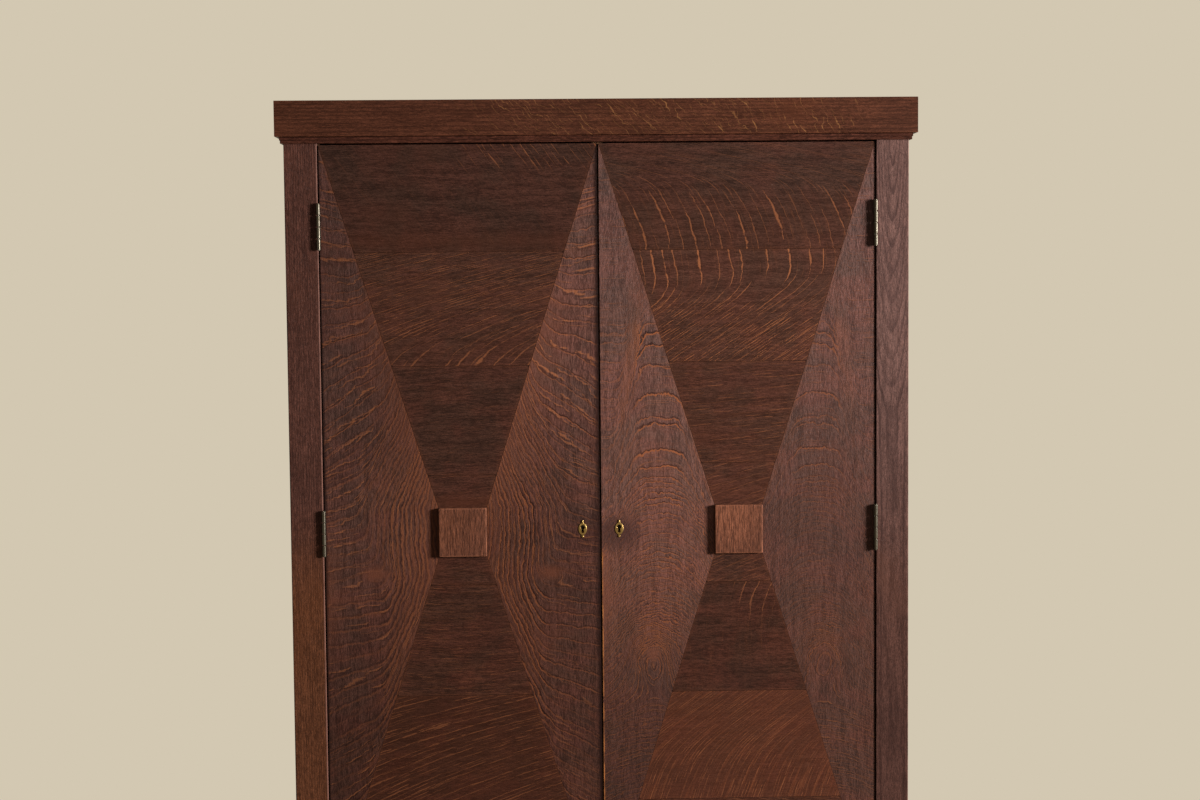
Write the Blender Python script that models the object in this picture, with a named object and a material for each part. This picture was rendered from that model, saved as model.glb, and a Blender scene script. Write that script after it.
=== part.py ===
"""Two-door oak cabinet with marquetry doors, built piece by piece at its real size.

Lengths are in metres. The origin is on the floor under the middle of the cabinet, +Z is up and
the doors face -Y, so the left side of the cabinet, seen from the front, is at -X.
"""

import math

import bmesh
import bpy
from mathutils import Vector

# Carcass
CARCASS_WIDTH = 1.200
CARCASS_DEPTH = 0.485
FOOT_CLEARANCE = 0.134
POST_WIDTH = 0.063
POST_DEPTH = 0.050
RAIL_THICKNESS = 0.024
BOTTOM_RAIL_HEIGHT = 0.085
SIDE_TOP_RAIL_HEIGHT = 0.095
TENON_THICKNESS = 0.010
TENON_LENGTH = 0.025
SIDE_PANEL_THICKNESS = 0.009
PANEL_GROOVE_DEPTH = 0.008
BACK_PANEL_THICKNESS = 0.010
BACK_REBATE_WIDTH = 0.012
TOP_BOARD_THICKNESS = 0.018
BOTTOM_BOARD_THICKNESS = 0.020
PARTITION_THICKNESS = 0.022
SHELF_THICKNESS = 0.019
SHELF_SETBACK = 0.010
HOUSING_DEPTH = 0.006

# Cornice and the stepped bead under it
CORNICE_HEIGHT = 0.068
CORNICE_PROJECTION = 0.015
UPPER_BEAD_HEIGHT = 0.0063
UPPER_BEAD_PROJECTION = 0.007
LOWER_BEAD_HEIGHT = 0.0062
LOWER_BEAD_PROJECTION = 0.0055

# Doors
DOOR_HEIGHT = 1.4945
DOOR_RECESS = 0.003
DOOR_END_GAP = 0.003
HINGE_GAP = 0.0025
MEETING_GAP = 0.003
STOP_CLEARANCE = 0.0005
CORE_THICKNESS = 0.020
VENEER_THICKNESS = 0.0015
BLOCK_WIDTH = 0.093
BLOCK_HEIGHT = 0.095
BLOCK_THICKNESS = 0.009
BLOCK_BEVEL = 0.002
BLOCK_BEVEL_SHARE = 0.5

# Butt hinges
HINGE_LENGTH = 0.089
HINGE_INSET = 0.156
LEAF_THICKNESS = 0.002
LEAF_WIDTH = 0.026
BARREL_RADIUS = 0.0036
KNUCKLE_CLEARANCE = 0.0004
PIN_RADIUS = 0.00175
PIN_CLEARANCE = 0.0002
PIN_HEAD_RADIUS = 0.0027
PIN_HEAD_HEIGHT = 0.0012
PIN_TIP_LENGTH = 0.0008

# Locks and escutcheons
KEYHOLE_INSET = 0.034
KEYHOLE_RISE = 0.0065
KEYHOLE_RADIUS = 0.0034
KEYHOLE_SLOT_WIDTH = 0.0034
KEYHOLE_SLOT_DROP = 0.0088
KEY_WELL_RADIUS = 0.0078
LOCK_WALL = 0.003
ESCUTCHEON_WIDTH = 0.0163
ESCUTCHEON_DROP = 0.0035
ESCUTCHEON_OVAL_HEIGHT = 0.0236
ESCUTCHEON_PIP_RADIUS = 0.0024
ESCUTCHEON_HEIGHT = 0.0345
ESCUTCHEON_THICKNESS = 0.002
LOCK_WIDTH = 0.060
LOCK_HEIGHT = 0.056
LOCK_DEPTH = 0.017
LOCK_CLEARANCE = 0.004
BOLT_LENGTH = 0.042
BOLT_HEIGHT = 0.016
BOLT_THICKNESS = 0.006
BOLT_RISE = 0.013
BOLT_SETBACK = 0.011
BOLT_THROW = 0.010
BOLT_RECESS = 0.0005
BOLT_CLEARANCE = 0.0004
TALON_WIDTH = 0.008
TALON_DEPTH = 0.004
MORTISE_CLEARANCE = 0.0008

# Faces that touch on the real cabinet stand this far apart, and cuts run this far past a face
GAP = 0.0003
OVERRUN = 0.001

# Counts, and the angle from which an edge of a rounded piece is drawn sharp
SHELVES_PER_BAY = 2
KNUCKLES = 4
ROUND_SIDES = 20
ARC_STEPS = 16
ESCUTCHEON_POINTS = 56
BEVEL_SEGMENTS = 3
SHARP_EDGE_DEG = 30

# Heights worked out from the floor up
CUPBOARD_FLOOR_Z = FOOT_CLEARANCE + BOTTOM_RAIL_HEIGHT
DOOR_LOW_Z = CUPBOARD_FLOOR_Z + DOOR_END_GAP
DOOR_HIGH_Z = DOOR_LOW_Z + DOOR_HEIGHT
DOOR_MID_Z = (DOOR_LOW_Z + DOOR_HIGH_Z) / 2
KEYHOLE_Z = DOOR_MID_Z + KEYHOLE_RISE
ESCUTCHEON_Z = KEYHOLE_Z - ESCUTCHEON_DROP
BEAD_LOW_Z = DOOR_HIGH_Z + DOOR_END_GAP
BEAD_STEP_Z = BEAD_LOW_Z + LOWER_BEAD_HEIGHT
CORNICE_LOW_Z = BEAD_STEP_Z + UPPER_BEAD_HEIGHT
TOP_Z = CORNICE_LOW_Z + CORNICE_HEIGHT
TOP_BOARD_LOW_Z = TOP_Z - TOP_BOARD_THICKNESS
POST_TOP_Z = TOP_BOARD_LOW_Z - GAP
SIDE_TOP_RAIL_LOW_Z = POST_TOP_Z - SIDE_TOP_RAIL_HEIGHT
BOTTOM_BOARD_LOW_Z = CUPBOARD_FLOOR_Z - BOTTOM_BOARD_THICKNESS

# Distances from the middle of the cabinet
HALF_WIDTH = CARCASS_WIDTH / 2
POST_INNER_X = HALF_WIDTH - POST_WIDTH
DOOR_OUTER_X = POST_INNER_X - HINGE_GAP
DOOR_INNER_X = MEETING_GAP / 2
DOOR_MID_X = (DOOR_OUTER_X + DOOR_INNER_X) / 2
HINGE_AXIS_X = POST_INNER_X - HINGE_GAP / 2
SIDE_RAIL_INNER_X = HALF_WIDTH - RAIL_THICKNESS
SIDE_RAIL_MID_X = HALF_WIDTH - RAIL_THICKNESS / 2
SIDE_PANEL_INNER_X = SIDE_RAIL_MID_X - SIDE_PANEL_THICKNESS / 2
HOUSING_X = POST_INNER_X + HOUSING_DEPTH
PARTITION_X = PARTITION_THICKNESS / 2
KEYHOLE_X = DOOR_INNER_X + KEYHOLE_INSET
LOCK_EDGE_X = PARTITION_X + LOCK_CLEARANCE
BOLT_NOSE_X = LOCK_EDGE_X + BOLT_RECESS

# Depths from front to back
BACK_Y = (CARCASS_DEPTH + CORNICE_PROJECTION) / 2
FRONT_Y = BACK_Y - CARCASS_DEPTH
FRONT_POST_BACK_Y = FRONT_Y + POST_DEPTH
BACK_POST_FRONT_Y = BACK_Y - POST_DEPTH
FRONT_RAIL_MID_Y = FRONT_Y + RAIL_THICKNESS / 2
FRONT_RAIL_BACK_Y = FRONT_Y + RAIL_THICKNESS
BACK_PANEL_FRONT_Y = BACK_Y - BACK_PANEL_THICKNESS
HINGE_AXIS_Y = FRONT_Y - BARREL_RADIUS - GAP
DOOR_FACE_Y = FRONT_Y + DOOR_RECESS
CORE_FRONT_Y = DOOR_FACE_Y + VENEER_THICKNESS + GAP
DOOR_BACK_Y = CORE_FRONT_Y + CORE_THICKNESS
STOP_Y = DOOR_BACK_Y + STOP_CLEARANCE
LOCK_FRONT_Y = DOOR_BACK_Y + GAP
LOCK_BACK_Y = LOCK_FRONT_Y + LOCK_DEPTH
BOLT_Y = LOCK_FRONT_Y + BOLT_SETBACK
BOLT_Z = KEYHOLE_Z + BOLT_RISE

SIDES = {"left": -1, "right": 1}
HINGE_HEIGHTS = {
    "top": DOOR_HIGH_Z - HINGE_INSET,
    "middle": DOOR_MID_Z,
    "bottom": DOOR_LOW_Z + HINGE_INSET,
}
SHELF_NAMES = ("lower", "upper")

# Base colour, roughness and metallic value of each finish
FINISHES = {
    "frame_oak": ((0.085, 0.032, 0.016), 0.42, 0.0),
    "dark_veneer": ((0.052, 0.021, 0.013), 0.40, 0.0),
    "light_veneer": ((0.115, 0.048, 0.030), 0.40, 0.0),
    "block_oak": ((0.140, 0.056, 0.030), 0.38, 0.0),
    "inside_oak": ((0.200, 0.110, 0.055), 0.60, 0.0),
    "hinge_brass": ((0.520, 0.430, 0.300), 0.32, 1.0),
    "lock_steel": ((0.360, 0.340, 0.320), 0.40, 1.0),
    "brass": ((0.560, 0.380, 0.160), 0.30, 1.0),
}


def clear_scene():
    for obj in list(bpy.data.objects):
        bpy.data.objects.remove(obj, do_unlink=True)


def material(name, finish):
    """The part's own Principled material, with the colour, roughness and metal of its finish."""
    colour, roughness, metallic = FINISHES[finish]
    made = bpy.data.materials.new(name)
    made.use_nodes = True
    shader = made.node_tree.nodes["Principled BSDF"]
    shader.inputs["Base Color"].default_value = (*colour, 1)
    shader.inputs["Roughness"].default_value = roughness
    shader.inputs["Metallic"].default_value = metallic
    return made


def add_object(name, bm, origin, parent=None):
    """A mesh object whose vertices were given in world space, with its own origin at a point."""
    bmesh.ops.translate(bm, verts=bm.verts, vec=-origin)
    bmesh.ops.recalc_face_normals(bm, faces=bm.faces)
    mesh = bpy.data.meshes.new(name)
    bm.to_mesh(mesh)
    bm.free()
    obj = bpy.data.objects.new(name, mesh)
    bpy.context.scene.collection.objects.link(obj)
    obj.parent = parent
    obj.location = origin - parent.location if parent else origin
    return obj


def finish_piece(obj, finish, smooth=False):
    obj.data.materials.append(material(obj.name, finish))
    if smooth:
        obj.data.shade_smooth()
        obj.data.set_sharp_from_angle(angle=math.radians(SHARP_EDGE_DEG))
    return obj


def add_pivot(name, point):
    """An empty on a joint's axis, which carries the pieces that move with that joint."""
    pivot = bpy.data.objects.new(name, None)
    bpy.context.scene.collection.objects.link(pivot)
    pivot.location = point
    return pivot


def box_mesh(low, high):
    bm = bmesh.new()
    verts = [
        bm.verts.new((x, y, z))
        for z in (low[2], high[2])
        for y in (low[1], high[1])
        for x in (low[0], high[0])
    ]
    for loop in ((0, 1, 3, 2), (4, 5, 7, 6), (0, 1, 5, 4), (2, 3, 7, 6), (0, 2, 6, 4), (1, 3, 7, 5)):
        bm.faces.new([verts[i] for i in loop])
    bmesh.ops.recalc_face_normals(bm, faces=bm.faces)
    return bm


def centre_of(low, high):
    return (Vector(low) + Vector(high)) / 2


def box(name, low, high, finish, parent=None):
    return finish_piece(add_object(name, box_mesh(low, high), centre_of(low, high), parent), finish)


def in_space(axis, u, v, w):
    """The point at u, v on a drawing plane and w along the axis that the plane faces."""
    return {"X": (w, u, v), "Y": (u, w, v), "Z": (u, v, w)}[axis]


def prism_mesh(outline, axis, low, high):
    """An outline drawn square to an axis and drawn out along it from low to high."""
    bm = bmesh.new()
    rings = [[bm.verts.new(in_space(axis, u, v, w)) for u, v in outline] for w in (low, high)]
    for ring in rings:
        bm.faces.new(ring)
    for i, (start, end) in enumerate(zip(*rings)):
        bm.faces.new((rings[0][i - 1], start, end, rings[1][i - 1]))
    return bm


def prism_centre(outline, axis, low, high):
    us = [u for u, _ in outline]
    vs = [v for _, v in outline]
    return Vector(in_space(axis, (min(us) + max(us)) / 2, (min(vs) + max(vs)) / 2, (low + high) / 2))


def prism(name, outline, axis, low, high, finish, parent=None, smooth=False):
    bm = prism_mesh(outline, axis, low, high)
    centre = prism_centre(outline, axis, low, high)
    return finish_piece(add_object(name, bm, centre, parent), finish, smooth)


def turned_mesh(x, y, profile):
    """Rings of the profile's radii, stacked at its heights on the upright line through x, y."""
    bm = bmesh.new()
    turns = [2 * math.pi * i / ROUND_SIDES for i in range(ROUND_SIDES)]
    rings = [
        [bm.verts.new((x + r * math.cos(t), y + r * math.sin(t), z)) for t in turns]
        for r, z in profile
    ]
    bm.faces.new(rings[0])
    bm.faces.new(rings[-1])
    for lower, upper in zip(rings, rings[1:]):
        for i in range(ROUND_SIDES):
            bm.faces.new((lower[i - 1], lower[i], upper[i], upper[i - 1]))
    return bm


def combine(piece, tool_mesh, operation="DIFFERENCE"):
    """Cuts a hidden tool's shape from the piece, or joins it on."""
    number = len(piece.modifiers)
    tool = add_object(f"{piece.name}_tool_{number}", tool_mesh, Vector((0, 0, 0)))
    tool.hide_render = True
    tool.display_type = "WIRE"
    modifier = piece.modifiers.new(tool.name, "BOOLEAN")
    modifier.operation = operation
    modifier.solver = "EXACT"
    modifier.object = tool


def cut_box(piece, low, high):
    combine(piece, box_mesh(low, high))


def mirrored(side, points):
    return [(side * u, v) for u, v in points]


def corners(side, x_span, y_span, z_span):
    """Low and high corners of a box whose x span is measured out from the middle on one side."""
    xs = sorted(side * x for x in x_span)
    return (xs[0], y_span[0], z_span[0]), (xs[1], y_span[1], z_span[1])


def shelf_levels():
    """Heights of the shelves' undersides, which divide each bay evenly."""
    room = TOP_BOARD_LOW_Z - CUPBOARD_FLOOR_Z
    pitch = (room + SHELF_THICKNESS) / (SHELVES_PER_BAY + 1)
    return [CUPBOARD_FLOOR_Z + pitch * (i + 1) - SHELF_THICKNESS for i in range(SHELVES_PER_BAY)]


def rail_outline(length_low, length_high, mid, along_x=True):
    """Plan of a rail with a tenon at each end, which runs along X or else along Y."""
    half = RAIL_THICKNESS / 2
    tenon = TENON_THICKNESS / 2
    points = [
        (length_low, mid - half),
        (length_high, mid - half),
        (length_high, mid - tenon),
        (length_high + TENON_LENGTH, mid - tenon),
        (length_high + TENON_LENGTH, mid + tenon),
        (length_high, mid + tenon),
        (length_high, mid + half),
        (length_low, mid + half),
        (length_low, mid + tenon),
        (length_low - TENON_LENGTH, mid + tenon),
        (length_low - TENON_LENGTH, mid - tenon),
        (length_low, mid - tenon),
    ]
    return points if along_x else [(across, length) for length, across in points]


def cut_front_mortises(post, side):
    """Mortises for the two front rails, in the post's inner face."""
    depth = (POST_INNER_X - OVERRUN, POST_INNER_X + TENON_LENGTH + GAP)
    half = TENON_THICKNESS / 2 + GAP
    across = (FRONT_RAIL_MID_Y - half, FRONT_RAIL_MID_Y + half)
    cut_box(post, *corners(side, depth, across, (FOOT_CLEARANCE - GAP, CUPBOARD_FLOOR_Z + GAP)))
    cut_box(post, *corners(side, depth, across, (BEAD_LOW_Z - GAP, POST_TOP_Z + OVERRUN)))


def cut_side_joints(post, side, inner_y, inward):
    """Mortises for the side rails and the groove for the side panel, in the face at inner_y."""
    mortise = sorted((inner_y + inward * OVERRUN, inner_y - inward * (TENON_LENGTH + GAP)))
    groove = sorted((inner_y + inward * OVERRUN, inner_y - inward * (PANEL_GROOVE_DEPTH + GAP)))
    half_tenon = TENON_THICKNESS / 2 + GAP
    half_panel = SIDE_PANEL_THICKNESS / 2 + GAP
    tenon_x = (SIDE_RAIL_MID_X - half_tenon, SIDE_RAIL_MID_X + half_tenon)
    panel_x = (SIDE_RAIL_MID_X - half_panel, SIDE_RAIL_MID_X + half_panel)
    low_rail = (FOOT_CLEARANCE - GAP, CUPBOARD_FLOOR_Z + GAP)
    high_rail = (SIDE_TOP_RAIL_LOW_Z - GAP, POST_TOP_Z + OVERRUN)
    cut_box(post, *corners(side, tenon_x, mortise, low_rail))
    cut_box(post, *corners(side, tenon_x, mortise, high_rail))
    cut_box(post, *corners(side, panel_x, groove, (CUPBOARD_FLOOR_Z, SIDE_TOP_RAIL_LOW_Z)))


def cut_housings(post, side, board_y_span, shelf_y_span):
    """Housings in the post's inner face for the bottom board and the shelves."""
    depth = (POST_INNER_X - OVERRUN, HOUSING_X + GAP)
    board = (BOTTOM_BOARD_LOW_Z - GAP, CUPBOARD_FLOOR_Z + GAP)
    cut_box(post, *corners(side, depth, board_y_span, board))
    for level in shelf_levels():
        span = (level - GAP, level + SHELF_THICKNESS + GAP)
        cut_box(post, *corners(side, depth, shelf_y_span, span))


def cut_hinge_gains(piece, side, face_x, inward, y_span):
    """Shallow recesses in an upright edge at face_x for the three hinge leaves."""
    depth = (face_x - inward * OVERRUN, face_x + inward * (LEAF_THICKNESS + GAP))
    for height in HINGE_HEIGHTS.values():
        z_span = (height - HINGE_LENGTH / 2 - GAP, height + HINGE_LENGTH / 2 + GAP)
        cut_box(piece, *corners(side, depth, y_span, z_span))


def build_front_post(name, side):
    low, high = corners(side, (POST_INNER_X, HALF_WIDTH), (FRONT_Y, FRONT_POST_BACK_Y), (0, POST_TOP_Z))
    post = box(f"front_{name}_post", low, high, "frame_oak")
    cut_front_mortises(post, side)
    cut_side_joints(post, side, FRONT_POST_BACK_Y, 1)
    past_back = FRONT_POST_BACK_Y + OVERRUN
    board_y = (FRONT_RAIL_BACK_Y, past_back)
    shelf_y = (STOP_Y + SHELF_SETBACK - GAP, past_back)
    cut_housings(post, side, board_y, shelf_y)
    cut_hinge_gains(post, side, POST_INNER_X, 1, (FRONT_Y - OVERRUN, FRONT_Y + LEAF_WIDTH + GAP))


def build_back_post(name, side):
    low, high = corners(side, (POST_INNER_X, HALF_WIDTH), (BACK_POST_FRONT_Y, BACK_Y), (0, POST_TOP_Z))
    post = box(f"back_{name}_post", low, high, "frame_oak")
    cut_side_joints(post, side, BACK_POST_FRONT_Y, -1)
    housing_y = (BACK_POST_FRONT_Y - OVERRUN, BACK_PANEL_FRONT_Y)
    cut_housings(post, side, housing_y, housing_y)
    rebate_x = (POST_INNER_X - OVERRUN, POST_INNER_X + BACK_REBATE_WIDTH + GAP)
    rebate_y = (BACK_PANEL_FRONT_Y - GAP, BACK_Y + OVERRUN)
    rebate_z = (FOOT_CLEARANCE - GAP, POST_TOP_Z + OVERRUN)
    cut_box(post, *corners(side, rebate_x, rebate_y, rebate_z))


def build_front_rails():
    outline = rail_outline(-POST_INNER_X + GAP, POST_INNER_X - GAP, FRONT_RAIL_MID_Y)
    prism("front_top_rail", outline, "Z", BEAD_LOW_Z, POST_TOP_Z, "frame_oak")
    prism("front_bottom_rail", outline, "Z", FOOT_CLEARANCE, CUPBOARD_FLOOR_Z, "frame_oak")


def build_side_rails(name, side):
    low_y = FRONT_POST_BACK_Y + GAP
    high_y = BACK_POST_FRONT_Y - GAP
    outline = rail_outline(low_y, high_y, side * SIDE_RAIL_MID_X, along_x=False)
    top = prism(f"{name}_top_rail", outline, "Z", SIDE_TOP_RAIL_LOW_Z, POST_TOP_Z, "frame_oak")
    bottom = prism(f"{name}_bottom_rail", outline, "Z", FOOT_CLEARANCE, CUPBOARD_FLOOR_Z, "frame_oak")
    half = SIDE_PANEL_THICKNESS / 2 + GAP
    groove_x = (SIDE_RAIL_MID_X - half, SIDE_RAIL_MID_X + half)
    groove_y = (low_y - TENON_LENGTH - OVERRUN, high_y + TENON_LENGTH + OVERRUN)
    depth = PANEL_GROOVE_DEPTH + GAP
    top_z = (SIDE_TOP_RAIL_LOW_Z - OVERRUN, SIDE_TOP_RAIL_LOW_Z + depth)
    bottom_z = (CUPBOARD_FLOOR_Z - depth, CUPBOARD_FLOOR_Z + OVERRUN)
    cut_box(top, *corners(side, groove_x, groove_y, top_z))
    cut_box(bottom, *corners(side, groove_x, groove_y, bottom_z))


def build_side_panel(name, side):
    x_span = (SIDE_PANEL_INNER_X, SIDE_PANEL_INNER_X + SIDE_PANEL_THICKNESS)
    y_span = (FRONT_POST_BACK_Y - PANEL_GROOVE_DEPTH, BACK_POST_FRONT_Y + PANEL_GROOVE_DEPTH)
    z_span = (CUPBOARD_FLOOR_Z - PANEL_GROOVE_DEPTH, SIDE_TOP_RAIL_LOW_Z + PANEL_GROOVE_DEPTH)
    box(f"{name}_side_panel", *corners(side, x_span, y_span, z_span), "frame_oak")


def build_back_panel():
    half = POST_INNER_X + BACK_REBATE_WIDTH
    low = (-half, BACK_PANEL_FRONT_Y, FOOT_CLEARANCE)
    high = (half, BACK_Y, POST_TOP_Z)
    box("back_panel", low, high, "inside_oak")


def build_top_board():
    low = (-HALF_WIDTH, FRONT_Y, TOP_BOARD_LOW_Z)
    high = (HALF_WIDTH, BACK_Y, TOP_Z)
    box("top_board", low, high, "frame_oak")


def notched_end(inner_x, outer_x, front_y, back_y):
    """One end of a board that is housed in both posts and runs out between them."""
    post_front = FRONT_POST_BACK_Y + GAP
    post_back = BACK_POST_FRONT_Y - GAP
    return [
        (inner_x, front_y),
        (inner_x, post_front),
        (outer_x, post_front),
        (outer_x, post_back),
        (inner_x, post_back),
        (inner_x, back_y),
    ]


def build_bottom_board():
    back_y = BACK_PANEL_FRONT_Y - GAP
    end = notched_end(HOUSING_X, SIDE_RAIL_INNER_X - GAP, FRONT_RAIL_BACK_Y + GAP, back_y)
    outline = end + mirrored(-1, end)[::-1]
    prism("bottom_board", outline, "Z", BOTTOM_BOARD_LOW_Z, CUPBOARD_FLOOR_Z, "inside_oak")


def build_shelves(name, side):
    front_y = STOP_Y + SHELF_SETBACK
    back_y = BACK_PANEL_FRONT_Y - GAP
    end = notched_end(HOUSING_X, SIDE_PANEL_INNER_X - GAP, front_y, back_y)
    root_x = PARTITION_X - HOUSING_DEPTH + GAP
    outline = mirrored(side, end + [(root_x, back_y), (root_x, front_y)])
    for level_name, level in zip(SHELF_NAMES, shelf_levels()):
        prism(f"{name}_{level_name}_shelf", outline, "Z", level, level + SHELF_THICKNESS, "inside_oak")


def build_partition():
    back_y = BACK_PANEL_FRONT_Y - GAP
    low = (-PARTITION_X, STOP_Y, CUPBOARD_FLOOR_Z + GAP)
    high = (PARTITION_X, back_y, TOP_BOARD_LOW_Z - GAP)
    partition = box("partition", low, high, "inside_oak")
    housing_x = (PARTITION_X - HOUSING_DEPTH, PARTITION_X + OVERRUN)
    housing_y = (STOP_Y + SHELF_SETBACK - GAP, back_y + OVERRUN)
    half_thickness = BOLT_THICKNESS / 2 + MORTISE_CLEARANCE
    half_height = BOLT_HEIGHT / 2 + MORTISE_CLEARANCE
    mortise_x = (BOLT_NOSE_X - BOLT_THROW - MORTISE_CLEARANCE, PARTITION_X + OVERRUN)
    mortise_y = (BOLT_Y - half_thickness, BOLT_Y + half_thickness)
    mortise_z = (BOLT_Z - half_height, BOLT_Z + half_height)
    for side in SIDES.values():
        for level in shelf_levels():
            span = (level - GAP, level + SHELF_THICKNESS + GAP)
            cut_box(partition, *corners(side, housing_x, housing_y, span))
        cut_box(partition, *corners(side, mortise_x, mortise_y, mortise_z))


def strip(name, section, place_start, place_end):
    """A moulding whose section of (projection, height) points is carried to two mitred ends."""
    bm = bmesh.new()
    starts = [bm.verts.new(place_start(out, z)) for out, z in section]
    ends = [bm.verts.new(place_end(out, z)) for out, z in section]
    bm.faces.new(starts)
    bm.faces.new(ends)
    for i, (start, end) in enumerate(zip(starts, ends)):
        bm.faces.new((starts[i - 1], start, end, ends[i - 1]))
    low = [min(v.co[i] for v in bm.verts) for i in range(3)]
    high = [max(v.co[i] for v in bm.verts) for i in range(3)]
    finish_piece(add_object(name, bm, centre_of(low, high)), "frame_oak")


def build_mitred_set(name, section):
    """One moulding across the front and one back along each side, mitred at the front corners."""

    def corner(side, inset):
        return lambda out, z: (side * (HALF_WIDTH + out - inset), FRONT_Y - out, z)

    def return_corner(side):
        return lambda out, z: (side * (HALF_WIDTH + out), FRONT_Y - out + GAP, z)

    def return_end(side):
        return lambda out, z: (side * (HALF_WIDTH + out), BACK_Y, z)

    strip(f"{name}_front", section, corner(-1, GAP), corner(1, GAP))
    for side_name, side in SIDES.items():
        strip(f"{name}_{side_name}", section, return_corner(side), return_end(side))


def build_cornice():
    board = [
        (GAP, CORNICE_LOW_Z),
        (CORNICE_PROJECTION, CORNICE_LOW_Z),
        (CORNICE_PROJECTION, TOP_Z),
        (GAP, TOP_Z),
    ]
    bead = [
        (GAP, BEAD_LOW_Z),
        (LOWER_BEAD_PROJECTION, BEAD_LOW_Z),
        (LOWER_BEAD_PROJECTION, BEAD_STEP_Z),
        (UPPER_BEAD_PROJECTION, BEAD_STEP_Z),
        (UPPER_BEAD_PROJECTION, CORNICE_LOW_Z - GAP),
        (GAP, CORNICE_LOW_Z - GAP),
    ]
    build_mitred_set("cornice", board)
    build_mitred_set("cornice_bead", bead)


def keyhole_mesh(side, front_y, back_y):
    """A round hole over a narrow slot, drawn through from front_y to back_y."""
    slot = KEYHOLE_SLOT_WIDTH / 2
    opening = math.asin(slot / KEYHOLE_RADIUS)
    sweep = 2 * math.pi - 2 * opening
    turns = [opening + sweep * i / ARC_STEPS - math.pi / 2 for i in range(ARC_STEPS + 1)]
    arc = [(KEYHOLE_RADIUS * math.cos(t), KEYHOLE_RADIUS * math.sin(t)) for t in turns]
    outline = arc + [(-slot, -KEYHOLE_SLOT_DROP), (slot, -KEYHOLE_SLOT_DROP)]
    placed = [(side * KEYHOLE_X + u, KEYHOLE_Z + v) for u, v in outline]
    return prism_mesh(placed, "Y", front_y, back_y)


def key_well_mesh(side, front_y, back_y):
    """The round room behind the keyhole in which the key's bit turns and reaches the bolt."""
    turns = [2 * math.pi * i / ROUND_SIDES for i in range(ROUND_SIDES)]
    centre_x = side * KEYHOLE_X
    outline = [
        (centre_x + KEY_WELL_RADIUS * math.cos(t), KEYHOLE_Z + KEY_WELL_RADIUS * math.sin(t))
        for t in turns
    ]
    return prism_mesh(outline, "Y", front_y, back_y)


def escutcheon_outline(side):
    """An oval with a round pip at its top and its bottom: the further of the two along each ray."""
    half_width = ESCUTCHEON_WIDTH / 2
    half_height = ESCUTCHEON_OVAL_HEIGHT / 2
    pip_z = ESCUTCHEON_HEIGHT / 2 - ESCUTCHEON_PIP_RADIUS
    points = []
    for i in range(ESCUTCHEON_POINTS):
        turn = 2 * math.pi * i / ESCUTCHEON_POINTS
        across, up = math.cos(turn), math.sin(turn)
        reach = 1 / math.hypot(across / half_width, up / half_height)
        inside = ESCUTCHEON_PIP_RADIUS**2 - (pip_z * across) ** 2
        if inside > 0:
            reach = max(reach, pip_z * abs(up) + math.sqrt(inside))
        points.append((side * KEYHOLE_X + reach * across, ESCUTCHEON_Z + reach * up))
    return points


def veneer_outlines():
    """Outlines of the hourglass and of the fields outside and inside it, for the right-hand door."""
    waist_out = DOOR_MID_X + BLOCK_WIDTH / 2
    waist_in = DOOR_MID_X - BLOCK_WIDTH / 2
    waist_high = DOOR_MID_Z + BLOCK_HEIGHT / 2
    waist_low = DOOR_MID_Z - BLOCK_HEIGHT / 2
    half = GAP / 2
    outer = [
        (DOOR_OUTER_X, DOOR_HIGH_Z),
        (waist_out + half, waist_high),
        (waist_out + half, waist_low),
        (DOOR_OUTER_X, DOOR_LOW_Z),
    ]
    inner = [
        (DOOR_INNER_X, DOOR_HIGH_Z),
        (waist_in - half, waist_high),
        (waist_in - half, waist_low),
        (DOOR_INNER_X, DOOR_LOW_Z),
    ]
    outer_edge = [
        (DOOR_OUTER_X - GAP, DOOR_HIGH_Z),
        (waist_out - half, waist_high),
        (waist_out - half, waist_low),
        (DOOR_OUTER_X - GAP, DOOR_LOW_Z),
    ]
    inner_edge = [
        (DOOR_INNER_X + GAP, DOOR_LOW_Z),
        (waist_in + half, waist_low),
        (waist_in + half, waist_high),
        (DOOR_INNER_X + GAP, DOOR_HIGH_Z),
    ]
    return {"hourglass": outer_edge + inner_edge, "outer": outer, "inner": inner}


def build_veneers(name, side, pivot):
    back_y = DOOR_FACE_Y + VENEER_THICKNESS
    pieces = {}
    for field, outline in veneer_outlines().items():
        finish = "dark_veneer" if field == "hourglass" else "light_veneer"
        placed = mirrored(side, outline)
        pieces[field] = prism(f"{name}_{field}_veneer", placed, "Y", DOOR_FACE_Y, back_y, finish, pivot)
    gain_y = (DOOR_FACE_Y - OVERRUN, back_y + OVERRUN)
    cut_hinge_gains(pieces["outer"], side, DOOR_OUTER_X, -1, gain_y)
    combine(pieces["inner"], keyhole_mesh(side, DOOR_FACE_Y - OVERRUN, back_y + OVERRUN))


def build_door_core(name, side, pivot):
    x_span = (DOOR_INNER_X, DOOR_OUTER_X)
    low, high = corners(side, x_span, (CORE_FRONT_Y, DOOR_BACK_Y), (DOOR_LOW_Z, DOOR_HIGH_Z))
    core = box(f"{name}_door_core", low, high, "frame_oak", pivot)
    gain_y = (CORE_FRONT_Y - OVERRUN, FRONT_Y + LEAF_WIDTH + GAP)
    cut_hinge_gains(core, side, DOOR_OUTER_X, -1, gain_y)
    combine(core, keyhole_mesh(side, CORE_FRONT_Y - OVERRUN, DOOR_BACK_Y + OVERRUN))


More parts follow.
